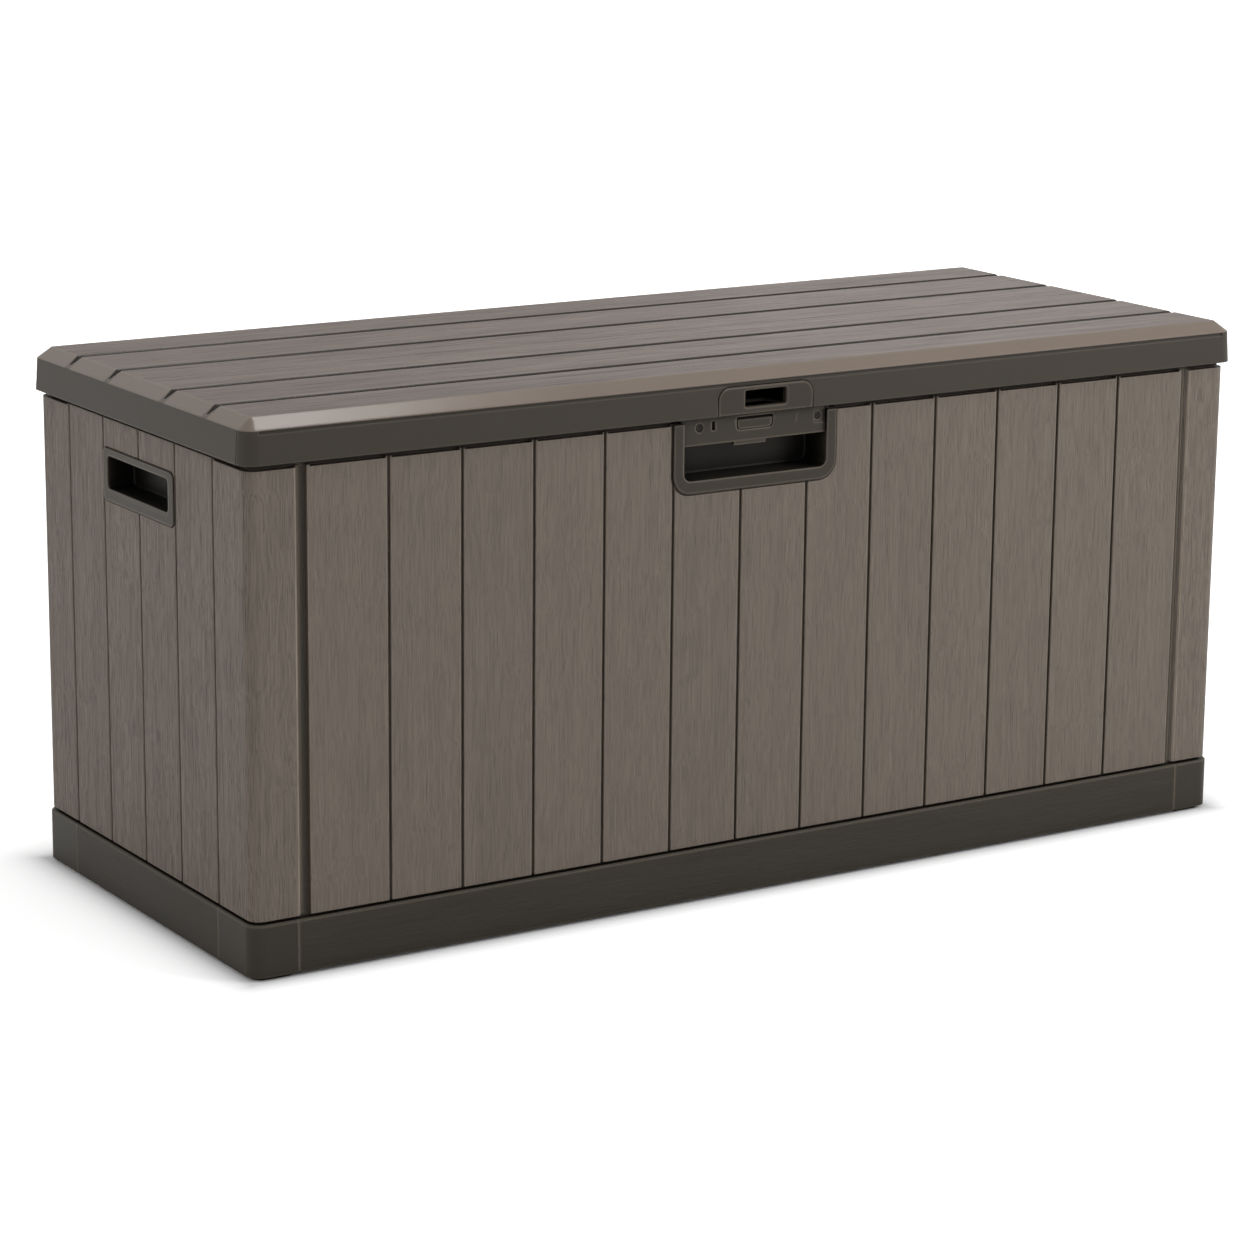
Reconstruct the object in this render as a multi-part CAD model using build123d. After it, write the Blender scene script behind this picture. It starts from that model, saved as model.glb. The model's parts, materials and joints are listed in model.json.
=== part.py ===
from build123d import *
import math
import os

# Deck storage box in resin, millimetres.  Origin at the bottom centre of the whole box,
# X along its length, Y from the front to the back, Z up.  The front is at -Y.

# ---- driving sizes: whole box ---------------------------------------------------
LENGTH = 1200.0            # lid, left to right
DEPTH = 486.0              # lid, front to back
HEIGHT = 549.0             # floor to lid top
LID_OVERHANG = 6.5         # lid beyond the plank faces, each side
FIT = 0.3                  # clearance between pieces that move past each other
SNUG = 0.05                # radial clearance of pins and screws in their holes

# ---- driving sizes: plinth and feet ---------------------------------------------
FOOT_HEIGHT = 4.0
FOOT_INSET = 5.0
FOOT_CHAMFER = 1.5
PLINTH_HEIGHT = 53.0
PLINTH_PROUD = 2.5
PLINTH_WALL = 5.0
PLINTH_FLANGE = 22.0
PLINTH_CHAMFER = 1.5
CORNER_BLOCK_X = 50.5      # corner block along the front
CORNER_BLOCK_Y = 74.0      # corner block along the side
CORNER_WEB = 4.0

# ---- driving sizes: floor -------------------------------------------------------
FLOOR_PLATE = 3.0
FLOOR_INSET = 5.0          # floor edge behind the plank faces
FLOOR_RIB = 2.5
FLOOR_RIB_DEPTH = 26.0
FLOOR_RIBS_ALONG = 3
FLOOR_RIBS_ACROSS = 9
CURB_HEIGHT = 8.0
CURB_WALL = 4.0

# ---- driving sizes: walls -------------------------------------------------------
SKIN = 3.5
RIB_DEPTH = 10.5
RIB_WIDTH = 8.0
WALL_FLANGE = 12.0         # solid band at the top and foot of a wall
MID_RIB = 4.0
BODY_RADIUS = 13.0
INSIDE_RADIUS = 4.0        # upright corners inside the walls, floor and rim
FRONT_PLANKS = 13
SIDE_PLANKS = 4
CORNER_STRIP = 54.5       # side panel's return on the front and back
CHANNEL = 8.0              # dark channel between return and front panel
RETURN_SLOPE = 5.0         # slope on a corner return, beside the channel
END_PLANK = 87.5           # first and last front plank
SIDE_EDGE = 73.7           # strip between the corner and the first side groove
GROOVE_WIDTH = 3.0
GROOVE_DEPTH = 4.0
SHADOW_SLOT = 1.8          # slot above each plank
SHADOW_DEPTH = 8.0
JOINT_RECESS = 5.0         # channel floor behind the plank faces
JOINT_FLANGE = 8.0
JOINT_PLATE = 3.0

# ---- driving sizes: rim ---------------------------------------------------------
RIM_HEIGHT = 4.5
RIM_INSET = 4.5
RIM_LEG = 4.0
RIM_LEG_DROP = 20.0

# ---- driving sizes: lid ---------------------------------------------------------
FASCIA = 33.0
FASCIA_DRAFT = 2.2
BEVEL_RISE = 11.0
LID_RADIUS = 15.0          # corner radius and bevel width
LID_WALL = 3.5
LID_BORDER = 70.0          # smooth strip from the bevel to the first groove
LID_CENTRE_PLANK = 126.0
LID_GROOVE = 11.0
LID_GROOVE_FLOOR = 5.0
LID_GROOVE_DEPTH = 4.5
LID_GROOVE_EDGE = 0.9      # sloped edge of a groove
LID_GROOVE_SLOPE = 0.8     # how deep that edge runs
LID_GROOVE_TIP = 11.0      # how far a groove runs down the end bevels
LID_TIP = 0.25             # groove's size at its tip, against its full size
FASCIA_LINE = 2.8          # shallow line under the bevel, front and back
FASCIA_LINE_DROP = 0.8
FASCIA_LINE_DEPTH = 1.2
CORNER_LINE = 1.0          # seam line at each upright lid corner
CORNER_LINE_DEPTH = 0.7
LID_SEAM = 1.0
LID_SEAM_DEPTH = 1.2
LID_RIB = 11.0
LID_CROSS_RIBS = 6
LID_CROSS_RIB = 2.5
LINER_PLATE = 3.0
LINER_GAP = 3.0            # liner above the rim
BEAD_WIDTH = 8.0
BEAD_INSET = 4.0           # bead behind the rim's outer face
LINER_MARGIN = 4.0
LINER_SEAM = 250.0         # the liner's panels meet this far from the middle

# ---- driving sizes: latch -------------------------------------------------------
LATCH_X = -24.0            # the latch sits left of the middle
LATCH_WIDTH = 197.0
LATCH_DROP = 72.0          # bezel foot below the wall top
LATCH_RADIUS = 20.0
LATCH_LEG = 12.0           # bezel width at the sides
LATCH_SILL = 13.0          # bezel width at the foot
LATCH_INNER_RADIUS = 8.5
BEZEL_PROUD = 2.5
LEG_TOP_GAP = 4.0          # bezel legs end this far below the plate's top
BEZEL_GAP = 2.0            # dark outline cut in the planks round a bezel
BEZEL_GAP_DEPTH = 2.0
RECESS_DEPTH = 36.0
POCKET_WALL = 3.0
PLATE_DROP = 24.0          # lock plate's lower edge below the wall top
PLATE_RECESS = 1.0         # lock plate behind the plank faces
PLATE_THICK = 3.4
PLATE_TOP_GAP = 0.5
FLAP_WIDTH = 41.0
FLAP_HEIGHT = 8.6          # pivot to lower edge
FLAP_RADIUS = 4.0
FLAP_SIDE_GAP = 1.4
FLAP_TOP_GAP = 2.0
FLAP_THICK = 2.4
FLAP_TOP_BAR = 3.5
FLAP_BARREL = 1.8
FLAP_PIN = 1.0
FLAP_PIN_LENGTH = 3.7
LIP_WIDTH = 38.0
LIP_HEIGHT = 4.0
LIP_SHIFT = -5.0           # lip's middle from the plate's
SNAP_SLOT_X = 48.5
SNAP_SLOT_WIDTH = 3.2
SNAP_SLOT_HEIGHT = 9.0
SNAP_SLOT_DROP = 5.0       # slot below the plate's top
SNAP_RIB = 1.8             # raised rib beside each snap slot
SNAP_RIB_PROUD = 0.9
LATCH_SCREWS = (-66.5, 77.0)
SCREW_SEAT = 4.6           # shallow round seat at the left screw
SCREW_PANEL = 14.0         # shallow square seat at the right screw
SEAT_DEPTH = 0.7

# ---- driving sizes: lock tab in the lid fascia ----------------------------------
TAB_X = -15.5
TAB_WIDTH = 114.0
TAB_HEIGHT = 28.0
TAB_RADIUS = 13.0
TAB_GAP = 0.9              # dark outline round the tab
TAB_EDGE = 0.7
WINDOW_EDGE = 1.2
WINDOW_WIDTH = 50.0
WINDOW_HEIGHT = 16.5
WINDOW_SILL = 7.0
TAB_FLANGE = 5.0
TAB_FLANGE_THICK = 2.0
WELL_WIDTH = 66.0          # padlock room above the lock plate
WELL_DEPTH = 34.0

# ---- driving sizes: side handles ------------------------------------------------
HANDLE_WIDTH = 160.0
HANDLE_HEIGHT = 54.0
HANDLE_DROP = 29.5         # bezel top below the wall top
HANDLE_RADIUS = 7.0
HANDLE_PROUD = 1.5
HANDLE_OPEN_WIDTH = 138.0
HANDLE_OPEN_HEIGHT = 33.5
HANDLE_OPEN_RADIUS = 5.0
HANDLE_SILL = 13.0
HANDLE_DEPTH = 28.0

# ---- driving sizes: hinges ------------------------------------------------------
HINGE_SPREAD = 420.0       # outer hinges from the middle
HINGE_WIDTH = 64.0
BARREL_RADIUS = 5.0
HINGE_PIN = 2.5
HINGE_SHEET = 2.0
HINGE_LEAF_DROP = 45.0
HINGE_LEAF_REACH = 36.0
HINGE_RECESS = 4.4
LID_KNUCKLE = 22.0
PIN_HEAD = 3.8
PIN_HEAD_THICK = 1.5
HINGE_SCREW_SPREAD = 20.0
BOSS_WIDTH = 70.0

# ---- driving sizes: lid stays ---------------------------------------------------
STAY_ANGLE = 40.0          # angle at the hinge axis between the two stay pins, closed
STAY_DROP = 6.0            # lid pin below the hinge axis
STAY_CLEARANCE = 13.7      # lid pin behind the handle bezel
LID_OPEN = 100.0           # how far the lid opens
ARM_WIDTH = 20.0
ARM_THICK = 2.5
ARM_TAIL = 16.0            # arm beyond the wall pin when the lid is open
ARM_GAP = 7.5              # arm from the wall's inner face
STAY_PIN = 4.0
LID_PIN = 3.0
STAY_BASE = 30.0
STAY_BASE_THICK = 3.0
STAY_HEAD = 7.0
STAY_HEAD_THICK = 2.5
STAY_HEAD_GAP = 0.6
BRACKET_WIDTH = 22.0
BRACKET_SHEET = 2.5
BRACKET_FOOT = 20.0

# ---- driving sizes: screws ------------------------------------------------------
SCREW_RADIUS = 2.0
SCREW_HEAD = 3.6
SCREW_HEAD_THICK = 1.6
SCREW_LENGTH = 10.0
DRIVE_SLOT = 0.8

# ---- sizes that follow ----------------------------------------------------------
BODY_X = LENGTH / 2 - LID_OVERHANG            # plank faces of the side walls
BODY_Y = DEPTH / 2 - LID_OVERHANG             # plank faces of the front and back
PLINTH_TOP = FOOT_HEIGHT + PLINTH_HEIGHT
WALL_FOOT = PLINTH_TOP + FLOOR_PLATE
LID_FOOT = HEIGHT - BEVEL_RISE - FASCIA
WALL_TOP = LID_FOOT - RIM_HEIGHT
FASCIA_TOP = LID_FOOT + FASCIA
WALL = SKIN + RIB_DEPTH
INNER_X = BODY_X - WALL
INNER_Y = BODY_Y - WALL
FRONT_EDGE = BODY_X - CORNER_STRIP - CHANNEL  # end of the front panel
RETURN_EDGE = BODY_X - CORNER_STRIP           # end of the side panel's return
FRONT_PITCH = 2 * (FRONT_EDGE - END_PLANK) / (FRONT_PLANKS - 2)
SIDE_PITCH = 2 * (BODY_Y - SIDE_EDGE) / SIDE_PLANKS
BLOCK_EDGE_X = BODY_X + PLINTH_PROUD - CORNER_BLOCK_X
BLOCK_EDGE_Y = BODY_Y + PLINTH_PROUD - CORNER_BLOCK_Y
LINER_FOOT = LID_FOOT + LINER_GAP
HINGE_Z = LID_FOOT - BARREL_RADIUS - 0.5
HINGE_Y = BODY_Y - HINGE_RECESS + BARREL_RADIUS + FIT
HANDLE_TOP = WALL_TOP - HANDLE_DROP
HANDLE_OPEN_FOOT = HANDLE_TOP - HANDLE_HEIGHT + HANDLE_SILL
LATCH_FOOT = WALL_TOP - LATCH_DROP
RECESS_FOOT = LATCH_FOOT + LATCH_SILL
PLATE_FOOT = WALL_TOP - PLATE_DROP
PLATE_TOP = LID_FOOT - PLATE_TOP_GAP
RECESS_WIDTH = LATCH_WIDTH - 2 * LATCH_LEG
TAB_BACK = -DEPTH / 2 + FASCIA_DRAFT + LID_WALL
STAY_RADIUS = HINGE_Y - HANDLE_WIDTH / 2 - STAY_CLEARANCE
STAY_START = math.degrees(math.asin(STAY_DROP / STAY_RADIUS))
ARM_X = INNER_X - ARM_GAP - ARM_THICK         # arm's inner face
FLAP_Z = PLATE_TOP - FLAP_TOP_BAR - FLAP_TOP_GAP - FLAP_BARREL
FLAP_Y = -BODY_Y + PLATE_RECESS + FLAP_BARREL


def stay_point(angle):
    """Point (y, z) on the stay circle round the hinge axis, angle below the level."""
    turn = math.radians(angle)
    return HINGE_Y - STAY_RADIUS * math.cos(turn), HINGE_Z - STAY_RADIUS * math.sin(turn)


LID_PIN_AT = stay_point(STAY_START)
WALL_PIN_AT = stay_point(STAY_START + STAY_ANGLE)
ARM_REACH = 2 * STAY_RADIUS * math.sin(math.radians((STAY_ANGLE + LID_OPEN) / 2)) + ARM_TAIL


# ---- helpers --------------------------------------------------------------------
def block(x0, x1, y0, y1, z0, z1):
    """Box between two corners."""
    centre = Pos((x0 + x1) / 2, (y0 + y1) / 2, (z0 + z1) / 2)
    return centre * Box(abs(x1 - x0), abs(y1 - y0), abs(z1 - z0))


def prism(half_x, half_y, radius, z0, z1):
    """Upright prism over a centred rectangle with rounded corners."""
    outline = RectangleRounded(2 * half_x, 2 * half_y, radius)
    return extrude(Plane.XY.offset(z0) * outline, z1 - z0)


def rod_x(radius, x0, x1, y, z):
    """Cylinder along X."""
    return Pos((x0 + x1) / 2, y, z) * Rot(0, 90, 0) * Cylinder(radius, abs(x1 - x0))


def left_of(shape):
    """Mirror image on the left of the box."""
    return mirror(shape, about=Plane.YZ)


def rear_of(shape):
    """Mirror image at the back of the box."""
    return mirror(shape, about=Plane.XZ)


def tongue(width, top, foot, radius, y0, y1, centre_x=LATCH_X):
    """Upright plate along Y whose two lower corners are rounded."""
    outline = Rectangle(width, top - foot)
    low = outline.vertices().sort_by(Axis.Y)[:2]
    outline = fillet(low, radius)
    upright = Plane(origin=(centre_x, y0, (top + foot) / 2), x_dir=(1, 0, 0), z_dir=(0, -1, 0))
    return extrude(upright * outline, -(y1 - y0))


def arch(width, foot, top, radius, y0, y1, centre_x=LATCH_X):
    """Upright plate along Y whose two upper corners are rounded."""
    outline = Rectangle(width, top - foot)
    high = outline.vertices().sort_by(Axis.Y)[-2:]
    outline = fillet(high, radius)
    upright = Plane(origin=(centre_x, y0, (top + foot) / 2), x_dir=(1, 0, 0), z_dir=(0, -1, 0))
    return extrude(upright * outline, -(y1 - y0))


def screw(length=SCREW_LENGTH):
    """Pan-head screw along -Z, its head seated on Z = 0."""
    head = Pos(0, 0, SCREW_HEAD_THICK / 2) * Cylinder(SCREW_HEAD, SCREW_HEAD_THICK)
    head = fillet(head.edges().filter_by(GeomType.CIRCLE).sort_by(Axis.Z)[-1:], SCREW_HEAD_THICK / 2)
    shank = Pos(0, 0, -length / 2) * Cylinder(SCREW_RADIUS, length)
    slot = Pos(0, 0, SCREW_HEAD_THICK) * Box(SCREW_HEAD * 1.3, DRIVE_SLOT, DRIVE_SLOT)
    return head + shank - slot - Rot(0, 0, 90) * slot


def screw_hole(length=SCREW_LENGTH):
    """Hole that the screw's shank fits."""
    depth = length + FIT
    return Pos(0, 0, -depth / 2) * Cylinder(SCREW_RADIUS + SNUG, depth)


# ---- plinth ---------------------------------------------------------------------
def plinth_ring():
    """Whole plinth: channel section with a top flange, chamfered along its top edge."""
    half_x, half_y = BODY_X + PLINTH_PROUD, BODY_Y + PLINTH_PROUD
    radius = BODY_RADIUS + PLINTH_PROUD
    outer = prism(half_x, half_y, radius, FOOT_HEIGHT, PLINTH_TOP)
    outer = chamfer(outer.edges().group_by(Axis.Z)[-1], PLINTH_CHAMFER)
    hollow = prism(half_x - PLINTH_WALL, half_y - PLINTH_WALL, radius - PLINTH_WALL,
                   FOOT_HEIGHT - 1, PLINTH_TOP - PLINTH_WALL)
    middle = prism(half_x - PLINTH_FLANGE, half_y - PLINTH_FLANGE, INSIDE_RADIUS,
                   FOOT_HEIGHT, PLINTH_TOP + 1)
    return outer - hollow - middle


def plinth_rail_front(ring):
    """Long rail between the front corner blocks."""
    return ring & block(-BLOCK_EDGE_X, BLOCK_EDGE_X, -DEPTH, 0, 0, PLINTH_TOP)


def plinth_rail_right(ring):
    """Short rail between the right corner blocks."""
    return ring & block(0, LENGTH, -BLOCK_EDGE_Y, BLOCK_EDGE_Y, 0, PLINTH_TOP)


def corner_block(ring):
    """Front right corner block: ring corner, sole plate, stiffening webs and foot pad."""
    reach = block(BLOCK_EDGE_X, LENGTH, -DEPTH, -BLOCK_EDGE_Y, 0, PLINTH_TOP)
    half_x, half_y = BODY_X + PLINTH_PROUD, BODY_Y + PLINTH_PROUD
    wall_x, wall_y = half_x - PLINTH_WALL, half_y - PLINTH_WALL
    sole = prism(half_x, half_y, BODY_RADIUS + PLINTH_PROUD, FOOT_HEIGHT, FOOT_HEIGHT + CORNER_WEB)
    pad = prism(half_x - FOOT_INSET, half_y - FOOT_INSET, BODY_RADIUS, 0, FOOT_HEIGHT)
    pad = pad & block(BLOCK_EDGE_X + FOOT_INSET, LENGTH, -DEPTH, -BLOCK_EDGE_Y - FOOT_INSET,
                      0, FOOT_HEIGHT)
    pad = chamfer(pad.edges().group_by(Axis.Z)[0], FOOT_CHAMFER)
    z0, z1 = FOOT_HEIGHT, PLINTH_TOP - PLINTH_WALL
    reach_in = PLINTH_FLANGE - PLINTH_WALL
    webs = block(BLOCK_EDGE_X, BLOCK_EDGE_X + CORNER_WEB, -wall_y, -wall_y + reach_in, z0, z1)
    webs += block(wall_x - reach_in, wall_x, -BLOCK_EDGE_Y - CORNER_WEB, -BLOCK_EDGE_Y, z0, z1)
    return (ring & reach) + (sole & reach) + webs + pad


# ---- floor ----------------------------------------------------------------------
def floor_panel():
    """Floor plate on the plinth, with ribs below and a curb that locates the walls."""
    plate = prism(BODY_X - FLOOR_INSET, BODY_Y - FLOOR_INSET, BODY_RADIUS - FLOOR_INSET,
                  PLINTH_TOP, WALL_FOOT)
    curb_x, curb_y = INNER_X - FIT, INNER_Y - FIT
    curb = prism(curb_x, curb_y, INSIDE_RADIUS, WALL_FOOT, WALL_FOOT + CURB_HEIGHT)
    curb -= prism(curb_x - CURB_WALL, curb_y - CURB_WALL, INSIDE_RADIUS / 2,
                  WALL_FOOT, WALL_FOOT + CURB_HEIGHT)
    rib_x = BODY_X + PLINTH_PROUD - PLINTH_FLANGE - FIT
    rib_y = BODY_Y + PLINTH_PROUD - PLINTH_FLANGE - FIT
    z0 = PLINTH_TOP - FLOOR_RIB_DEPTH
    half = FLOOR_RIB / 2
    grid = prism(rib_x, rib_y, INSIDE_RADIUS, z0, PLINTH_TOP)
    grid -= prism(rib_x - FLOOR_RIB, rib_y - FLOOR_RIB, INSIDE_RADIUS / 2, z0, PLINTH_TOP)
    for index in range(FLOOR_RIBS_ALONG):
        y = rib_y * (2 * (index + 1) / (FLOOR_RIBS_ALONG + 1) - 1)
        grid += block(-rib_x, rib_x, y - half, y + half, z0, PLINTH_TOP)
    for index in range(FLOOR_RIBS_ACROSS):
        x = rib_x * (2 * (index + 1) / (FLOOR_RIBS_ACROSS + 1) - 1)
        grid += block(x - half, x + half, -rib_y, rib_y, z0, PLINTH_TOP)
    return plate + curb + grid


# ---- walls ----------------------------------------------------------------------
def wall_strip(grooves, left_end, right_end):
    """Ribbed wall along X with its face at Y = 0 and its back towards +Y.

    A rib stands behind each groove; a solid band closes the top and the foot."""
    wall = block(left_end, right_end, 0, SKIN, WALL_FOOT, WALL_TOP)
    wall += block(left_end, right_end, 0, WALL, WALL_FOOT, WALL_FOOT + WALL_FLANGE)
    wall += block(left_end, right_end, 0, WALL, WALL_TOP - WALL_FLANGE, WALL_TOP)
    for level in (1, 2):
        z = WALL_FOOT + (WALL_TOP - WALL_FOOT) * level / 3
        wall += block(left_end, right_end, 0, WALL, z - MID_RIB / 2, z + MID_RIB / 2)
    for x in grooves:
        wall += block(x - RIB_WIDTH / 2, x + RIB_WIDTH / 2, 0, WALL, WALL_FOOT, WALL_TOP)
    return wall


def groove_cut(x):
    """Groove between two planks, full height, with a vee mouth."""
    half = GROOVE_WIDTH / 2
    flare = GROOVE_WIDTH / 4
    outline = make_face(Polyline((x - half - flare, -1), (x - half - flare, 0), (x - half, flare),
                                 (x - half, GROOVE_DEPTH), (x + half, GROOVE_DEPTH),
                                 (x + half, flare), (x + half + flare, 0),
                                 (x + half + flare, -1), close=True))
    return extrude(Plane.XY.offset(WALL_FOOT - 1) * outline, WALL_TOP - WALL_FOOT + 2)


def shadow_slots(edges):
    """Slots above the planks, one between each two grooves or ends."""
    cuts = []
    for start, end in zip(edges[:-1], edges[1:]):
        cuts.append(block(start + GROOVE_WIDTH, end - GROOVE_WIDTH, -1, SHADOW_DEPTH,
                          WALL_TOP - SHADOW_SLOT, WALL_TOP + 1))
    return cuts


def front_wall():
    """Plank panel between the corner channels, before its openings are cut."""
    grooves = [-FRONT_EDGE + END_PLANK + FRONT_PITCH * k for k in range(FRONT_PLANKS - 1)]
    ends = [-FRONT_EDGE + RIB_WIDTH / 2, FRONT_EDGE - RIB_WIDTH / 2]
    wall = wall_strip(grooves + ends, -FRONT_EDGE, FRONT_EDGE)
    for x in grooves:
        wall -= groove_cut(x)
    for cut in shadow_slots([-FRONT_EDGE] + grooves + [FRONT_EDGE]):
        wall -= cut
    return Pos(0, -BODY_Y, 0) * wall


def stay_pad():
    """Solid pad in the right wall behind the stay post."""
    y, z = WALL_PIN_AT
    half = STAY_BASE / 2 + FIT
    return block(INNER_X, BODY_X - SKIN, y - half, y + half, z - half, z + half)


def handle_outline(width, height, foot, radius, x0, x1):
    """Prism along X with the shape of the handle's bezel or opening."""
    side = Plane(origin=(x0, 0, foot + height / 2), x_dir=(0, 1, 0), z_dir=(1, 0, 0))
    return extrude(side * RectangleRounded(width, height, radius), x1 - x0)


def handle_pocket_outline(grow, x0, x1):
    """Handle opening grown all round."""
    return handle_outline(HANDLE_OPEN_WIDTH + 2 * grow, HANDLE_OPEN_HEIGHT + 2 * grow,
                          HANDLE_OPEN_FOOT - grow, HANDLE_OPEN_RADIUS + grow, x0, x1)


def return_slope():
    """Cut that slopes the upright edge of the front corner return."""
    deep, face = -BODY_Y + RETURN_SLOPE, -BODY_Y
    outline = make_face(Polyline((RETURN_EDGE - 1, face - 1), (RETURN_EDGE + RETURN_SLOPE, face - 1),
                                 (RETURN_EDGE + RETURN_SLOPE, face), (RETURN_EDGE, deep),
                                 (RETURN_EDGE - 1, deep), close=True))
    return extrude(Plane.XY.offset(WALL_FOOT - 1) * outline, WALL_TOP - WALL_FOOT + 2)


def side_wall():
    """Right wall: planks, ribs, and the returns that wrap both corners."""
    foot, top = WALL_FOOT, WALL_TOP
    core = prism(INNER_X, INNER_Y, INSIDE_RADIUS, foot, top)
    shell = prism(BODY_X, BODY_Y, BODY_RADIUS, foot, top)
    skin = shell - prism(BODY_X - SKIN, BODY_Y - SKIN, BODY_RADIUS - SKIN, foot, top)
    thick = shell - core
    levels = [(foot, foot + WALL_FLANGE), (top - WALL_FLANGE, top)]
    levels += [(foot + (top - foot) * k / 3 - MID_RIB / 2, foot + (top - foot) * k / 3 + MID_RIB / 2)
               for k in (1, 2)]
    half_y = BODY_Y - SIDE_EDGE
    grooves = [-half_y + SIDE_PITCH * k for k in range(SIDE_PLANKS + 1)]
    right = block(RETURN_EDGE, LENGTH, -DEPTH, DEPTH, foot, top)
    wall = skin & right
    for z0, z1 in levels:
        wall += thick & block(RETURN_EDGE, LENGTH, -DEPTH, DEPTH, z0, z1)
    for y in grooves + [-INNER_Y + RIB_WIDTH / 2, INNER_Y - RIB_WIDTH / 2]:
        wall += block(INNER_X, BODY_X - SKIN / 2, y - RIB_WIDTH / 2, y + RIB_WIDTH / 2, foot, top)
    for sign in (-1, 1):
        wall += block(RETURN_EDGE, RETURN_EDGE + RIB_WIDTH,
                      sign * INNER_Y, sign * (BODY_Y - SKIN / 2), foot, top)
    wall += stay_pad()
    wall += handle_pocket_outline(POCKET_WALL + RIB_WIDTH, INNER_X, BODY_X - SKIN / 2)
    to_side = Pos(BODY_X, 0, 0) * Rot(0, 0, 90)
    for y in grooves:
        wall -= to_side * groove_cut(y)
    slot = prism(BODY_X + 1, BODY_Y + 1, BODY_RADIUS + 1, top - SHADOW_SLOT, top + 1)
    slot -= prism(BODY_X - SHADOW_DEPTH, BODY_Y - SHADOW_DEPTH, BODY_RADIUS - SHADOW_DEPTH,
                  foot, top + 2)
    for sign in (-1, 1):
        wall -= slot & block(RETURN_EDGE + GROOVE_WIDTH, LENGTH, sign * (half_y + GROOVE_WIDTH),
                             sign * DEPTH, foot, top + 2)
    wall -= return_slope()
    wall -= mirror(return_slope(), about=Plane.XZ)
    wall -= handle_pocket_outline(POCKET_WALL, INNER_X - 1, BODY_X + 1)
    outer = handle_outline(HANDLE_WIDTH + BEZEL_GAP, HANDLE_HEIGHT + BEZEL_GAP,
                           HANDLE_TOP - HANDLE_HEIGHT - BEZEL_GAP / 2, HANDLE_RADIUS + BEZEL_GAP / 2,
                           BODY_X - BEZEL_GAP_DEPTH, BODY_X + 1)
    wall -= outer - handle_outline(HANDLE_WIDTH, HANDLE_HEIGHT, HANDLE_TOP - HANDLE_HEIGHT,
                                   HANDLE_RADIUS, INNER_X, BODY_X + 1)
    for spot in stay_screw_spots():
        wall -= spot * screw_hole()
    return wall


def corner_joint():
    """Front right strip that closes the channel between the front panel and the return."""
    web = block(FRONT_EDGE, RETURN_EDGE, -BODY_Y + JOINT_RECESS, -INNER_Y, WALL_FOOT, WALL_TOP)
    flange = block(FRONT_EDGE - JOINT_FLANGE, RETURN_EDGE + JOINT_FLANGE,
                   -INNER_Y, -INNER_Y + JOINT_PLATE,
                   WALL_FOOT + CURB_HEIGHT + FIT, WALL_TOP - RIM_LEG_DROP - FIT)
    flange = fillet(flange.edges().filter_by(Axis.Z).group_by(Axis.Y)[-1], JOINT_PLATE / 2)
    return web + flange


def latch_outline(grow, y0, y1, top):
    """Hand recess outline grown at the sides and foot."""
    return tongue(RECESS_WIDTH + 2 * grow, top, RECESS_FOOT - grow,
                  LATCH_INNER_RADIUS + grow, y0, y1)


def front_panel():
    """Front wall with the opening for the latch housing."""
    wall = front_wall()
    wall += latch_outline(POCKET_WALL + RIB_WIDTH, -BODY_Y + SKIN / 2, -INNER_Y, WALL_TOP)
    outer = tongue(LATCH_WIDTH + 2 * BEZEL_GAP, WALL_TOP, LATCH_FOOT - BEZEL_GAP,
                   LATCH_RADIUS + BEZEL_GAP, -BODY_Y - 1, -BODY_Y + BEZEL_GAP_DEPTH)
    wall -= outer - tongue(LATCH_WIDTH, WALL_TOP, LATCH_FOOT, LATCH_RADIUS, -BODY_Y - 1, INNER_Y)
    return wall - latch_outline(POCKET_WALL, -BODY_Y - 1, -INNER_Y + 1, WALL_TOP + 1)


def rear_panel():
    """Back wall with three solid hinge seats, each recessed for a hinge leaf."""
    wall = rear_of(front_wall())
    half = BOSS_WIDTH / 2
    foot = WALL_TOP - HINGE_LEAF_DROP
    for x in hinge_places():
        wall += block(x - half, x + half, INNER_Y, BODY_Y, foot - RIB_WIDTH, WALL_TOP)
        recess = HINGE_WIDTH / 2 + PIN_HEAD_THICK + FIT
        wall -= block(x - recess, x + recess, BODY_Y - HINGE_RECESS, BODY_Y + 1, foot, WALL_TOP + 1)
        for spot in body_screw_spots(x):
            wall -= spot * screw_hole()
    return wall


# ---- rim ------------------------------------------------------------------------
def rim_ring():
    """Dark band between walls and lid, with a leg down the inside of the walls."""
    inner_x, inner_y = INNER_X - RIM_LEG, INNER_Y - RIM_LEG
    band = prism(BODY_X - RIM_INSET, BODY_Y - RIM_INSET, BODY_RADIUS - RIM_INSET, WALL_TOP, LID_FOOT)
    leg = prism(INNER_X, INNER_Y, INSIDE_RADIUS, WALL_TOP - RIM_LEG_DROP, WALL_TOP)
    hollow = prism(inner_x, inner_y, INSIDE_RADIUS / 2, WALL_TOP - RIM_LEG_DROP, LID_FOOT)
    ring = band + leg - hollow
    for x in hinge_places():
        half = BOSS_WIDTH / 2 + 2
        ring -= block(x - half, x + half, 0, DEPTH, WALL_TOP, LID_FOOT + 1)
    return ring


def rim_front(ring, start, end):
    """Stretch of the rim along the front."""
    return ring & block(start, end, -DEPTH, 0, 0, HEIGHT)


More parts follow.
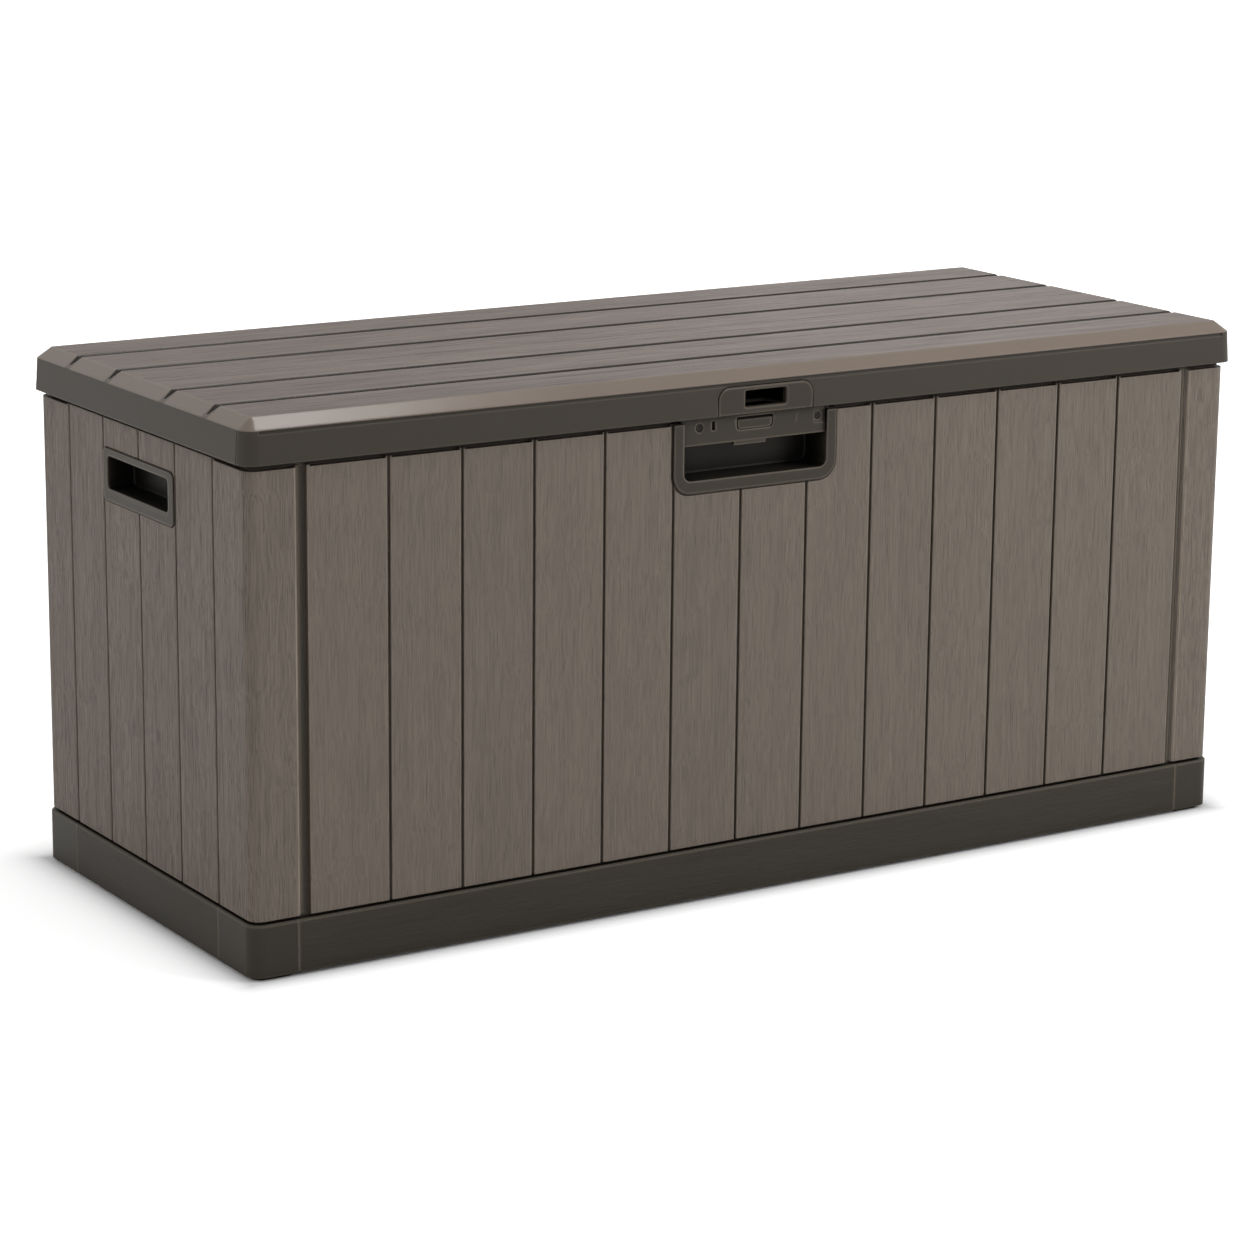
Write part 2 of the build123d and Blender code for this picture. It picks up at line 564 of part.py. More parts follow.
# ---- latch ----------------------------------------------------------------------
def latch_screw_spots():
    """Places and aims of both lock plate screws, their heads towards the front."""
    y = -BODY_Y + PLATE_RECESS + SEAT_DEPTH + SCREW_HEAD_THICK
    z = (PLATE_TOP + PLATE_FOOT) / 2 + SCREW_HEAD
    return [Pos(LATCH_X + offset, y, z) * Rot(90, 0, 0) for offset in LATCH_SCREWS]


def latch_housing():
    """U-shaped bezel on the planks, and the recess moulded in one with it."""
    face = -BODY_Y - BEZEL_PROUD
    back = -BODY_Y + RECESS_DEPTH
    bezel = tongue(LATCH_WIDTH, PLATE_TOP - LEG_TOP_GAP, LATCH_FOOT, LATCH_RADIUS, face, -BODY_Y)
    bezel = chamfer(bezel.faces().sort_by(Axis.Y)[0].edges(), BEZEL_PROUD / 3)
    tub = latch_outline(POCKET_WALL, -BODY_Y, back + POCKET_WALL, PLATE_TOP)
    housing = bezel + tub - latch_outline(0, face - 1, back, PLATE_TOP + 1)
    ear_front = -BODY_Y + PLATE_RECESS + PLATE_THICK
    for screw_x in LATCH_SCREWS:
        side = math.copysign(1, screw_x)
        housing += block(LATCH_X + screw_x - side * 2 * SCREW_HEAD,
                         LATCH_X + side * RECESS_WIDTH / 2, ear_front,
                         ear_front + SCREW_LENGTH, PLATE_FOOT + LIP_HEIGHT, PLATE_TOP)
    for spot in latch_screw_spots():
        housing -= spot * screw_hole()
    return housing


def snap_slot(offset, front):
    """Cut and raised rib of one snap slot in the lock plate."""
    x, top = LATCH_X + offset, PLATE_TOP - SNAP_SLOT_DROP
    foot = top - SNAP_SLOT_HEIGHT
    cut = block(x - SNAP_SLOT_WIDTH, x, front - 1, front + PLATE_THICK + 1, foot, top)
    rib = block(x, x + SNAP_RIB, front - SNAP_RIB_PROUD, front, foot, top)
    rib = chamfer(rib.faces().sort_by(Axis.Y)[0].edges(), SNAP_RIB_PROUD / 2)
    return cut, rib


def flap_opening(front):
    """Opening in the lock plate for the padlock flap, its lower corners rounded."""
    slot = FLAP_WIDTH / 2 + FLAP_SIDE_GAP
    return tongue(2 * slot, PLATE_TOP - FLAP_TOP_BAR, FLAP_Z - FLAP_HEIGHT - 2 * FIT,
                  FLAP_RADIUS, front - 1, front + 2 * PLATE_THICK)


def screw_seats(front):
    """Shallow round seat at the left screw and square one at the right."""
    left, right = latch_screw_spots()
    z = left.position.Z
    seat = Pos(left.position.X, front, z) * Rot(90, 0, 0) * Cylinder(SCREW_SEAT, 2 * SEAT_DEPTH)
    start = LATCH_X + RECESS_WIDTH / 2 - SCREW_PANEL
    panel = block(start, start + SCREW_PANEL + 1, front - 1, front + SEAT_DEPTH,
                  z - SCREW_PANEL / 2, z + SCREW_PANEL / 2)
    return seat, panel


def latch_plate():
    """Plate across the top of the recess: flap slot, snap slots, screw seats and a lip."""
    front = -BODY_Y + PLATE_RECESS
    half = RECESS_WIDTH / 2
    plate = block(LATCH_X - half, LATCH_X + half, front, front + PLATE_THICK, PLATE_FOOT, PLATE_TOP)
    slot = FLAP_WIDTH / 2 + FLAP_SIDE_GAP
    for sign in (-1, 1):
        plate += block(LATCH_X + sign * slot, LATCH_X + sign * (slot + FLAP_PIN_LENGTH),
                       front, FLAP_Y + 2 * FLAP_PIN + FIT,
                       FLAP_Z - 2 * FLAP_PIN - FIT, FLAP_Z + 2 * FLAP_PIN + FIT)
        cut, rib = snap_slot(sign * SNAP_SLOT_X, front)
        plate += rib
        if sign < 0:
            plate -= cut
    plate -= flap_opening(front)
    pin = FLAP_WIDTH / 2 + FLAP_PIN_LENGTH
    plate -= rod_x(FLAP_PIN + SNUG, LATCH_X - pin, LATCH_X + pin, FLAP_Y, FLAP_Z)
    for seat in screw_seats(front):
        plate -= seat
    for spot in latch_screw_spots():
        plate -= spot * Pos(0, 0, SCREW_HEAD_THICK) * Cylinder(SCREW_HEAD + FIT, 2 * SCREW_HEAD_THICK)
        plate -= spot * screw_hole()
    lip_x = LATCH_X + LIP_SHIFT
    lip = block(lip_x - LIP_WIDTH / 2, lip_x + LIP_WIDTH / 2, front + PLATE_THICK / 3,
                front + 2 * PLATE_THICK, PLATE_FOOT - LIP_HEIGHT, PLATE_FOOT)
    web = block(lip_x - LIP_WIDTH / 2, lip_x + LIP_WIDTH / 2, front + PLATE_THICK,
                front + 2 * PLATE_THICK, PLATE_FOOT, PLATE_FOOT + LIP_HEIGHT)
    return plate + lip + web


def padlock_flap():
    """Flap in the lock plate, on a barrel along its top edge with a pin at each end."""
    half = FLAP_WIDTH / 2
    front = FLAP_Y - FLAP_BARREL
    leaf = tongue(FLAP_WIDTH, FLAP_Z, FLAP_Z - FLAP_HEIGHT, FLAP_RADIUS, front, front + FLAP_THICK)
    barrel = rod_x(FLAP_BARREL, LATCH_X - half, LATCH_X + half, FLAP_Y, FLAP_Z)
    pin = half + FLAP_PIN_LENGTH
    return leaf + barrel + rod_x(FLAP_PIN, LATCH_X - pin, LATCH_X + pin, FLAP_Y, FLAP_Z)


# ---- side handle ----------------------------------------------------------------
def handle_pocket():
    """Right handle: bezel on the planks and the hand pocket behind it."""
    face = BODY_X + HANDLE_PROUD
    back = BODY_X - HANDLE_DEPTH
    bezel = handle_outline(HANDLE_WIDTH, HANDLE_HEIGHT, HANDLE_TOP - HANDLE_HEIGHT,
                           HANDLE_RADIUS, BODY_X, face)
    bezel = chamfer(bezel.faces().sort_by(Axis.X)[-1].edges(), HANDLE_PROUD / 2)
    tub = handle_pocket_outline(POCKET_WALL, back - POCKET_WALL, BODY_X)
    return bezel + tub - handle_pocket_outline(0, back, face + 1)


# ---- lid ------------------------------------------------------------------------
def lid_form(inset, foot):
    """Solid lid shape: drafted fascia, bevelled edge with cone corners, flat top."""
    centre_x = LENGTH / 2 - FASCIA_DRAFT - LID_RADIUS
    centre_y = DEPTH / 2 - FASCIA_DRAFT - LID_RADIUS
    low, high = LID_RADIUS + FASCIA_DRAFT - inset, LID_RADIUS - inset
    shoulder = FASCIA_TOP - inset
    top = HEIGHT - inset
    outlines = [Plane.XY.offset(z) * RectangleRounded(2 * (centre_x + r), 2 * (centre_y + r), r)
                for z, r in ((foot, low), (shoulder, high))]
    form = loft(outlines, ruled=True)
    slope = Polyline((-high, shoulder), (0, top), (0, shoulder), close=True)
    long_cut = Polyline((-centre_y - high, shoulder), (-centre_y, top), (centre_y, top),
                        (centre_y + high, shoulder), close=True)
    wide_cut = Polyline((-centre_x - high, shoulder), (-centre_x, top), (centre_x, top),
                        (centre_x + high, shoulder), close=True)
    form += extrude(Plane.YZ * make_face(long_cut), centre_x, both=True)
    form += extrude(Plane.XZ * make_face(wide_cut), centre_y, both=True)
    cone = revolve(Plane.XZ * make_face(slope), Axis.Z, 90)
    for x, y, turn in ((-1, -1, 0), (1, -1, 90), (1, 1, 180), (-1, 1, 270)):
        form += Pos(x * centre_x, y * centre_y, 0) * Rot(0, 0, turn) * cone
    return form


def lid_groove_lines():
    """Y of the four grooves between the lid's planks."""
    outer = DEPTH / 2 - FASCIA_DRAFT - LID_RADIUS - LID_BORDER
    inner = LID_CENTRE_PLANK / 2
    return [-outer, -inner, inner, outer]


def groove_section(x, z, size):
    """Section of a lid groove at x, with its open top at z."""
    half, floor = size * LID_GROOVE / 2, size * LID_GROOVE_FLOOR / 2
    edge, slope = size * LID_GROOVE_EDGE, size * LID_GROOVE_SLOPE
    right = [(half, 1), (half, 0), (half - edge, -slope), (floor, -size * LID_GROOVE_DEPTH)]
    points = right + [(-y, dz) for y, dz in reversed(right)]
    return Plane(origin=(x, 0, z), x_dir=(0, 1, 0), z_dir=(1, 0, 0)) * make_face(Polyline(points, close=True))


def lid_groove(y):
    """Groove along the lid that runs on down both end bevels and narrows to a tip."""
    edge = LENGTH / 2 - FASCIA_DRAFT - LID_RADIUS
    tip = edge + LID_GROOVE_TIP
    fall = LID_GROOVE_TIP * BEVEL_RISE / LID_RADIUS
    cut = extrude(groove_section(-edge, HEIGHT, 1), 2 * edge)
    end = loft([groove_section(edge, HEIGHT, 1), groove_section(tip, HEIGHT - fall, LID_TIP)], ruled=True)
    return Pos(0, y, 0) * (cut + end + left_of(end))


def lid_lines():
    """Shallow lines in the fascia: under the front and back bevels, and at the corners."""
    def skin(depth):
        return lid_form(0, LID_FOOT) - lid_form(depth, LID_FOOT)

    top = FASCIA_TOP - FASCIA_LINE_DROP
    reach_x = LENGTH / 2 - FASCIA_DRAFT - LID_RADIUS
    reach_y = DEPTH / 2 - FASCIA_DRAFT - LID_RADIUS
    lines = skin(FASCIA_LINE_DEPTH) & block(-reach_x, reach_x, -DEPTH, DEPTH, top - FASCIA_LINE, top)
    seams = [block(-LENGTH, LENGTH, sign * reach_y, sign * (reach_y + CORNER_LINE), LID_FOOT, FASCIA_TOP)
             for sign in (-1, 1)]
    corners = skin(CORNER_LINE_DEPTH) & (seams[0] + seams[1])
    return lines, corners


def lid_shell():
    """Lid skin with plank grooves, ribs down to the liner and a boss over each hinge."""
    shell = lid_form(0, LID_FOOT) - lid_form(LID_WALL, LID_FOOT)
    inside = lid_form(LID_WALL, LID_FOOT)
    deck = LINER_FOOT + LINER_PLATE
    reach_x = LENGTH / 2 - FASCIA_DRAFT - LID_RADIUS
    reach_y = DEPTH / 2 - FASCIA_DRAFT - LID_RADIUS
    ribs = []
    for y in lid_groove_lines():
        ribs.append(block(-reach_x, reach_x, y - LID_RIB / 2, y + LID_RIB / 2,
                          HEIGHT - LID_WALL - LID_RIB / 2, HEIGHT))
        ribs.append(block(-reach_x, reach_x, y - LID_CROSS_RIB / 2, y + LID_CROSS_RIB / 2, deck, HEIGHT))
    for index in range(LID_CROSS_RIBS):
        x = reach_x * (2 * (index + 1) / (LID_CROSS_RIBS + 1) - 1)
        ribs.append(block(x - LID_CROSS_RIB / 2, x + LID_CROSS_RIB / 2,
                          -BODY_Y + WELL_DEPTH + LINER_MARGIN, reach_y, deck, HEIGHT))
    for y in lid_groove_lines():
        ribs.append(block(-LENGTH / 2, LENGTH / 2, y - LID_RIB / 2, y + LID_RIB / 2,
                          FASCIA_TOP - LID_WALL, HEIGHT) - block(-reach_x, reach_x, -DEPTH, DEPTH, 0, HEIGHT))
    for rib in ribs:
        shell += rib & inside
    for x in hinge_places():
        shell += lid_hinge_boss(x)
    for y in lid_groove_lines():
        shell -= lid_groove(y)
    shell -= block(-reach_x, reach_x, -LID_SEAM / 2, LID_SEAM / 2, HEIGHT - LID_SEAM_DEPTH, HEIGHT + 1)
    for line in lid_lines():
        shell -= line
    shell -= arch(TAB_WIDTH, LID_FOOT - 1, LID_FOOT + TAB_HEIGHT, TAB_RADIUS, -DEPTH, TAB_BACK, TAB_X)
    outline = arch(TAB_WIDTH + 2 * TAB_GAP, LID_FOOT - 1, LID_FOOT + TAB_HEIGHT + TAB_GAP,
                   TAB_RADIUS + TAB_GAP, -DEPTH, TAB_BACK - LID_WALL + TAB_GAP, TAB_X)
    shell -= outline
    for spot in lid_screw_spots():
        shell -= spot * screw_hole()
    return shell


def lid_hinge_boss(x):
    """Plate over the lid leaf with webs up to the lid's top and a post round each screw."""
    half = BOSS_WIDTH / 2
    front, back = HINGE_Y - HINGE_LEAF_REACH - 1, HINGE_Y
    foot = HINGE_Z + BARREL_RADIUS
    top = HEIGHT - LID_WALL
    boss = block(x - half, x + half, front, back, foot, foot + LID_WALL)
    for offset in (-half, -LID_CROSS_RIB / 2, half - LID_CROSS_RIB):
        web = block(x + offset, x + offset + LID_CROSS_RIB, front, back - SCREW_LENGTH, foot, top)
        boss += web & lid_form(0, foot)
    for spot in lid_leaf_screw_spots(x):
        boss += spot * Pos(0, 0, -(SCREW_LENGTH + 2) / 2 - HINGE_SHEET / 2) * \
            Cylinder(2 * SCREW_RADIUS, SCREW_LENGTH + 2 - HINGE_SHEET)
    return boss


def lid_liner():
    """Underside of the lid: flat plate with the bead that rests on the rim."""
    centre_x = LENGTH / 2 - FASCIA_DRAFT - LID_RADIUS
    centre_y = DEPTH / 2 - FASCIA_DRAFT - LID_RADIUS
    radius = LID_RADIUS - LID_WALL - LINER_MARGIN / 2
    plate = prism(centre_x + radius, centre_y + radius, radius, LINER_FOOT, LINER_FOOT + LINER_PLATE)
    edge_x, edge_y = BODY_X - RIM_INSET - BEAD_INSET, BODY_Y - RIM_INSET - BEAD_INSET
    bead = prism(edge_x, edge_y, BODY_RADIUS - RIM_INSET - BEAD_INSET, LID_FOOT, LINER_FOOT)
    bead -= prism(edge_x - BEAD_WIDTH, edge_y - BEAD_WIDTH, INSIDE_RADIUS / 2, LID_FOOT, LINER_FOOT)
    liner = plate + bead
    half = BOSS_WIDTH / 2 + 2
    for x in hinge_places():
        liner -= block(x - half, x + half, HINGE_Y - HINGE_LEAF_REACH - 2, DEPTH,
                       LID_FOOT - 1, HEIGHT)
    half = WELL_WIDTH / 2
    liner -= block(LATCH_X - half, LATCH_X + half, -DEPTH, -BODY_Y + WELL_DEPTH, LID_FOOT - 1, HEIGHT)
    for spot in bracket_screw_spots():
        post = SCREW_LENGTH + 2 - BRACKET_SHEET
        for side in (spot, Pos(-2 * spot.position.X, 0, 0) * spot):
            liner += side * Pos(0, 0, -BRACKET_SHEET - post / 2) * Cylinder(2 * SCREW_RADIUS, post)
            liner -= side * screw_hole()
    return liner


def liner_panels():
    """Left, middle and right panel of the liner, with narrow seams between them."""
    liner, inner, outer = lid_liner(), LINER_SEAM - FIT / 2, LINER_SEAM + FIT / 2
    spans = {"left": (-LENGTH, -outer), "middle": (-inner, inner), "right": (outer, LENGTH)}
    return {name: liner & block(start, end, -DEPTH, DEPTH, 0, 2 * HEIGHT)
            for name, (start, end) in spans.items()}


def lock_tab():
    """Arched plate set in the fascia, with the padlock window and side flanges behind."""
    front = -DEPTH / 2
    tab = arch(TAB_WIDTH, LID_FOOT, LID_FOOT + TAB_HEIGHT, TAB_RADIUS, front, TAB_BACK, TAB_X)
    tab = chamfer(tab.faces().sort_by(Axis.Y)[0].edges(), TAB_EDGE)
    half = TAB_WIDTH / 2 + TAB_FLANGE
    tab += block(TAB_X - half, TAB_X + half, TAB_BACK, TAB_BACK + TAB_FLANGE_THICK,
                 LID_FOOT + TAB_FLANGE, LID_FOOT + TAB_HEIGHT - TAB_FLANGE)
    sill = LID_FOOT + WINDOW_SILL
    window = block(TAB_X - WINDOW_WIDTH / 2, TAB_X + WINDOW_WIDTH / 2, front,
                   TAB_BACK + 2 * TAB_FLANGE_THICK, sill, sill + WINDOW_HEIGHT)
    window = fillet(window.edges().filter_by(Axis.Y), SCREW_RADIUS)
    rim = window.faces().sort_by(Axis.Y)[0]
    flare = loft([Pos(0, -FIT, 0) * offset(rim, WINDOW_EDGE + FIT), Pos(0, WINDOW_EDGE, 0) * rim], ruled=True)
    return tab - window - flare


# ---- hinges ---------------------------------------------------------------------
def hinge_places():
    """X of the three hinges."""
    return (-HINGE_SPREAD, 0, HINGE_SPREAD)


def body_screw_spots(x):
    """Places of the body leaf's screws, heads towards the back."""
    z = WALL_TOP - HINGE_LEAF_DROP / 2 - BARREL_RADIUS
    y = BODY_Y - HINGE_RECESS + HINGE_SHEET
    return [Pos(x + sign * HINGE_SCREW_SPREAD, y, z) * Rot(-90, 0, 0) for sign in (-1, 1)]


def lid_leaf_screw_spots(x):
    """Places of the lid leaf's screws, heads downwards."""
    z = HINGE_Z + BARREL_RADIUS - HINGE_SHEET
    y = HINGE_Y - HINGE_LEAF_REACH / 2 - BARREL_RADIUS
    return [Pos(x + sign * HINGE_SCREW_SPREAD, y, z) * Rot(180, 0, 0) for sign in (-1, 1)]


def lid_screw_spots():
    """Screws of all three lid leaves."""
    return [spot for x in hinge_places() for spot in lid_leaf_screw_spots(x)]


def hinge_body_leaf(x):
    """Upright leaf in the back wall with the two outer knuckles."""
    half = HINGE_WIDTH / 2
    face = BODY_Y - HINGE_RECESS
    leaf = block(x - half, x + half, face, face + HINGE_SHEET,
                 WALL_TOP - HINGE_LEAF_DROP + 1, HINGE_Z)
    leaf += rod_x(BARREL_RADIUS, x - half, x + half, HINGE_Y, HINGE_Z)
    gap = LID_KNUCKLE / 2 + FIT
    around = BARREL_RADIUS + 2 * FIT
    leaf -= block(x - gap, x + gap, face - 1, HINGE_Y + around, HINGE_Z - around, HINGE_Z + around)
    leaf -= rod_x(HINGE_PIN + SNUG, x - half - 1, x + half + 1, HINGE_Y, HINGE_Z)
    for spot in body_screw_spots(x):
        leaf -= spot * screw_hole()
    return leaf


def hinge_lid_leaf(x):
    """Level leaf under the lid with the middle knuckle."""
    half = HINGE_WIDTH / 2
    top = HINGE_Z + BARREL_RADIUS
    leaf = block(x - half, x + half, HINGE_Y - HINGE_LEAF_REACH,
                 HINGE_Y - BARREL_RADIUS - 3 * FIT, top - HINGE_SHEET, top)
    middle = LID_KNUCKLE / 2
    leaf += block(x - middle, x + middle, HINGE_Y - BARREL_RADIUS - 3 * FIT, HINGE_Y,
                  top - HINGE_SHEET, top)
    leaf += rod_x(BARREL_RADIUS, x - middle, x + middle, HINGE_Y, HINGE_Z)
    leaf -= rod_x(HINGE_PIN + SNUG, x - middle - 1, x + middle + 1, HINGE_Y, HINGE_Z)
    for spot in lid_leaf_screw_spots(x):
        leaf -= spot * screw_hole()
    return leaf


def hinge_pin(x):
    """Steel pin through all three knuckles, headed at both ends."""
    half = HINGE_WIDTH / 2
    pin = rod_x(HINGE_PIN, x - half, x + half, HINGE_Y, HINGE_Z)
    for sign in (-1, 1):
        pin += rod_x(PIN_HEAD, x + sign * half, x + sign * (half + PIN_HEAD_THICK), HINGE_Y, HINGE_Z)
    return pin


# ---- lid stays ------------------------------------------------------------------
def stay_screw_spots():
    """Right wall post's screws, heads towards the inside."""
    y, z = WALL_PIN_AT
    reach = STAY_BASE / 2 - SCREW_HEAD - 1
    x = INNER_X - STAY_BASE_THICK
    return [Pos(x, y + sign * reach, z - sign * reach) * Rot(0, -90, 0) for sign in (-1, 1)]


def bracket_screw_spots():
    """Right lid bracket's screws, heads downwards."""
    x = ARM_X - 2 * FIT - BRACKET_SHEET - BRACKET_FOOT / 2
    y = LID_PIN_AT[0]
    reach = BRACKET_WIDTH / 2 - SCREW_HEAD - 1
    return [Pos(x, y + sign * reach, LINER_FOOT - BRACKET_SHEET) * Rot(180, 0, 0) for sign in (-1, 1)]


def stay_post():
    """Post on the right wall: base plate, round pin through the arm's slot, washer head."""
    y, z = WALL_PIN_AT
    half = STAY_BASE / 2
    base = block(INNER_X - STAY_BASE_THICK, INNER_X, y - half, y + half, z - half, z + half)
    base = fillet(base.edges().filter_by(Axis.X), SCREW_HEAD)
    for spot in stay_screw_spots():
        base -= spot * screw_hole()
    head = ARM_X - STAY_HEAD_GAP
    post = rod_x(STAY_PIN, head, INNER_X - STAY_BASE_THICK, y, z)
    return base + post + rod_x(STAY_HEAD, head - STAY_HEAD_THICK, head, y, z)


def stay_bracket():
    """Angle under the lid with the pin that carries the right arm."""
    y, z = LID_PIN_AT
    face = ARM_X - 2 * FIT
    half = BRACKET_WIDTH / 2
    foot = block(face - BRACKET_SHEET - BRACKET_FOOT, face, y - half, y + half,
                 LINER_FOOT - BRACKET_SHEET, LINER_FOOT)
    cheek = block(face - BRACKET_SHEET, face, y - half, y + half, z, LINER_FOOT)
    cheek += rod_x(half, face - BRACKET_SHEET, face, y, z)
    end = ARM_X + ARM_THICK + STAY_HEAD_GAP
    pin = rod_x(LID_PIN, face, end, y, z) + rod_x(LID_PIN + 2, end, end + PIN_HEAD_THICK, y, z)
    bracket = foot + cheek + pin
    for spot in bracket_screw_spots():
        bracket -= spot * screw_hole()
    return bracket


def stay_arm():
    """Flat slotted arm: hangs on the lid pin, and its slot slides on the wall pin."""
    y0, z0 = LID_PIN_AT
    y1, z1 = WALL_PIN_AT
    rest = math.hypot(y1 - y0, z1 - z0)
    along = Plane(origin=(ARM_X, y0, z0), x_dir=(0, y1 - y0, z1 - z0), z_dir=(1, 0, 0))
    length = ARM_REACH - ARM_WIDTH / 2
    plan = Pos(length / 2, 0) * SlotCenterToCenter(length, ARM_WIDTH)
    start, end = rest - STAY_PIN / 2, ARM_REACH - ARM_TAIL + 1
    plan -= Pos((start + end) / 2, 0) * SlotCenterToCenter(end - start, 2 * (STAY_PIN + 2 * SNUG))
    plan -= Circle(LID_PIN + SNUG)
    return extrude(along * plan, ARM_THICK)


# ---- all nodes ------------------------------------------------------------------
def placed_screws(spots):
    """One screw at each spot."""
    return [spot * screw() for spot in spots]


def both_sides(shapes):
    """The shapes and their mirror images."""
    return shapes + [left_of(shape) for shape in shapes]


def make_nodes():
    """Every named piece of the box."""
    nodes = {}
    ring = plinth_ring()
    nodes["plinth_front"] = plinth_rail_front(ring)
    nodes["plinth_rear"] = rear_of(nodes["plinth_front"])
    nodes["plinth_right"] = plinth_rail_right(ring)
    nodes["plinth_left"] = left_of(nodes["plinth_right"])
    corner, joint = corner_block(ring), corner_joint()
    for name, piece in (("corner_block", corner), ("corner_joint", joint)):
        nodes[name + "_front_right"] = piece
        nodes[name + "_front_left"] = left_of(piece)
        nodes[name + "_rear_right"] = rear_of(piece)
        nodes[name + "_rear_left"] = rear_of(left_of(piece))
    nodes["floor_panel"] = floor_panel()
    nodes["front_panel"] = front_panel()
    nodes["rear_panel"] = rear_panel()
    nodes["side_panel_right"] = side_wall()
    nodes["side_panel_left"] = left_of(nodes["side_panel_right"])
    rim = rim_ring()
    latch_left, latch_right = LATCH_X - LATCH_WIDTH / 2, LATCH_X + LATCH_WIDTH / 2
    nodes["rim_front_left"] = rim_front(rim, -RETURN_EDGE, latch_left)
    nodes["rim_front_right"] = rim_front(rim, latch_right, RETURN_EDGE)
    nodes["rim_rear"] = rim & block(-RETURN_EDGE, RETURN_EDGE, 0, DEPTH, 0, HEIGHT)
    nodes["rim_right"] = rim & block(RETURN_EDGE, LENGTH, -DEPTH, DEPTH, 0, HEIGHT)
    nodes["rim_left"] = left_of(nodes["rim_right"])
    nodes["latch_housing"] = latch_housing()
    nodes["latch_plate"] = latch_plate()
    nodes["latch_plate_screws"] = placed_screws(latch_screw_spots())
    nodes["padlock_flap"] = padlock_flap()
    nodes["handle_pocket_right"] = handle_pocket()
    nodes["handle_pocket_left"] = left_of(nodes["handle_pocket_right"])
    for name, x in zip(("left", "middle", "right"), hinge_places()):
        nodes["hinge_body_leaf_" + name] = hinge_body_leaf(x)
        nodes["hinge_lid_leaf_" + name] = hinge_lid_leaf(x)
        nodes["hinge_pin_" + name] = hinge_pin(x)
    body_spots = [spot for x in hinge_places() for spot in body_screw_spots(x)]
    nodes["hinge_body_screws"] = placed_screws(body_spots)
    nodes["hinge_lid_screws"] = placed_screws(lid_screw_spots())
    for name, piece in (("stay_post", stay_post()), ("stay_bracket", stay_bracket()),
                        ("stay_arm", stay_arm())):
        nodes[name + "_right"] = piece
        nodes[name + "_left"] = left_of(piece)
    nodes["stay_post_screws"] = both_sides(placed_screws(stay_screw_spots()))
    nodes["stay_bracket_screws"] = both_sides(placed_screws(bracket_screw_spots()))
    nodes["lid_shell"] = lid_shell()
    for name, panel in liner_panels().items():
        nodes["lid_liner_" + name] = panel
    nodes["lock_tab"] = lock_tab()
    return nodes


os.makedirs("parts", exist_ok=True)
for node_name, node_shape in make_nodes().items():
    if isinstance(node_shape, list):
        node_shape = Compound(children=node_shape)
    export_step(node_shape, f"parts/{node_name}.step")
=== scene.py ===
import json
import math

import bpy
from mathutils import Matrix, Vector


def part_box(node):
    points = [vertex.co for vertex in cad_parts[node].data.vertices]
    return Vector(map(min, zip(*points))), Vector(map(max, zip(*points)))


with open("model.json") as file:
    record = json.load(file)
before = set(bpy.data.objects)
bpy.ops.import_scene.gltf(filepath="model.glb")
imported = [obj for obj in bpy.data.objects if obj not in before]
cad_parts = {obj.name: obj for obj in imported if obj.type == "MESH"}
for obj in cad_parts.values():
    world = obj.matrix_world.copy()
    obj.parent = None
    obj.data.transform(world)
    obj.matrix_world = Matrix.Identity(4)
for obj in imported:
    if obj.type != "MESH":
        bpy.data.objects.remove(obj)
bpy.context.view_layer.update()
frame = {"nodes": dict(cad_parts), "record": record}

# ---- camera: place in metres, angles, lens in millimetres -------------------------
CAMERA_AT = (-2.1648, -3.3790, 1.2066)
CAMERA_YAW = math.radians(32.349)      # from +Y towards +X
CAMERA_PITCH = math.radians(13.686)    # downwards
CAMERA_ROLL = math.radians(0.554)
SENSOR = 36.0
LENS = 110.31
NEAR, FAR = 0.05, 200.0                # clipping, in metres

# ---- places on the box, in metres, from the frame ---------------------------------
FRONT_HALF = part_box("front_panel")[1].x
END_PLANK = 0.0875                     # first and last front plank
FRONT_PLANKS = 13
FRONT_PITCH = 2 * (FRONT_HALF - END_PLANK) / (FRONT_PLANKS - 2)
SIDE_LOW, SIDE_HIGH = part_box("side_panel_right")
SIDE_LINE = SIDE_HIGH.y - 0.0737       # first and last side groove from the middle
SIDE_PLANKS = 4
SIDE_PITCH = 2 * SIDE_LINE / SIDE_PLANKS
RETURN_LINE = SIDE_LOW.x + 0.0041      # upright edge of a side panel's front return
RETURN_HALF = 0.0008                   # half width of the painted highlight along it
RETURN_FADE = 0.0006
LID_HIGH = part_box("lid_shell")[1]
LID_CENTRE = 0.063                     # grooves of the lid from its middle
LID_BORDER = LID_HIGH.y - 0.0872
LID_LINES = (-LID_BORDER, -LID_CENTRE, LID_CENTRE, LID_BORDER)
LID_GROOVE = 0.0056                    # half width of such a groove
GROOVE_FADE = 0.0004
SKIRT_TOP = LID_HIGH.z - 0.0116        # the skirt's tone turns into the bevel's
BEVEL_FOOT = LID_HIGH.z - 0.0106       # between these two heights
FOOT_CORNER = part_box("corner_block_rear_right")[1]
FOOT_MARGIN = 0.002
FOOT_HALF = (FOOT_CORNER.x + FOOT_MARGIN, FOOT_CORNER.y + FOOT_MARGIN, 1.0)

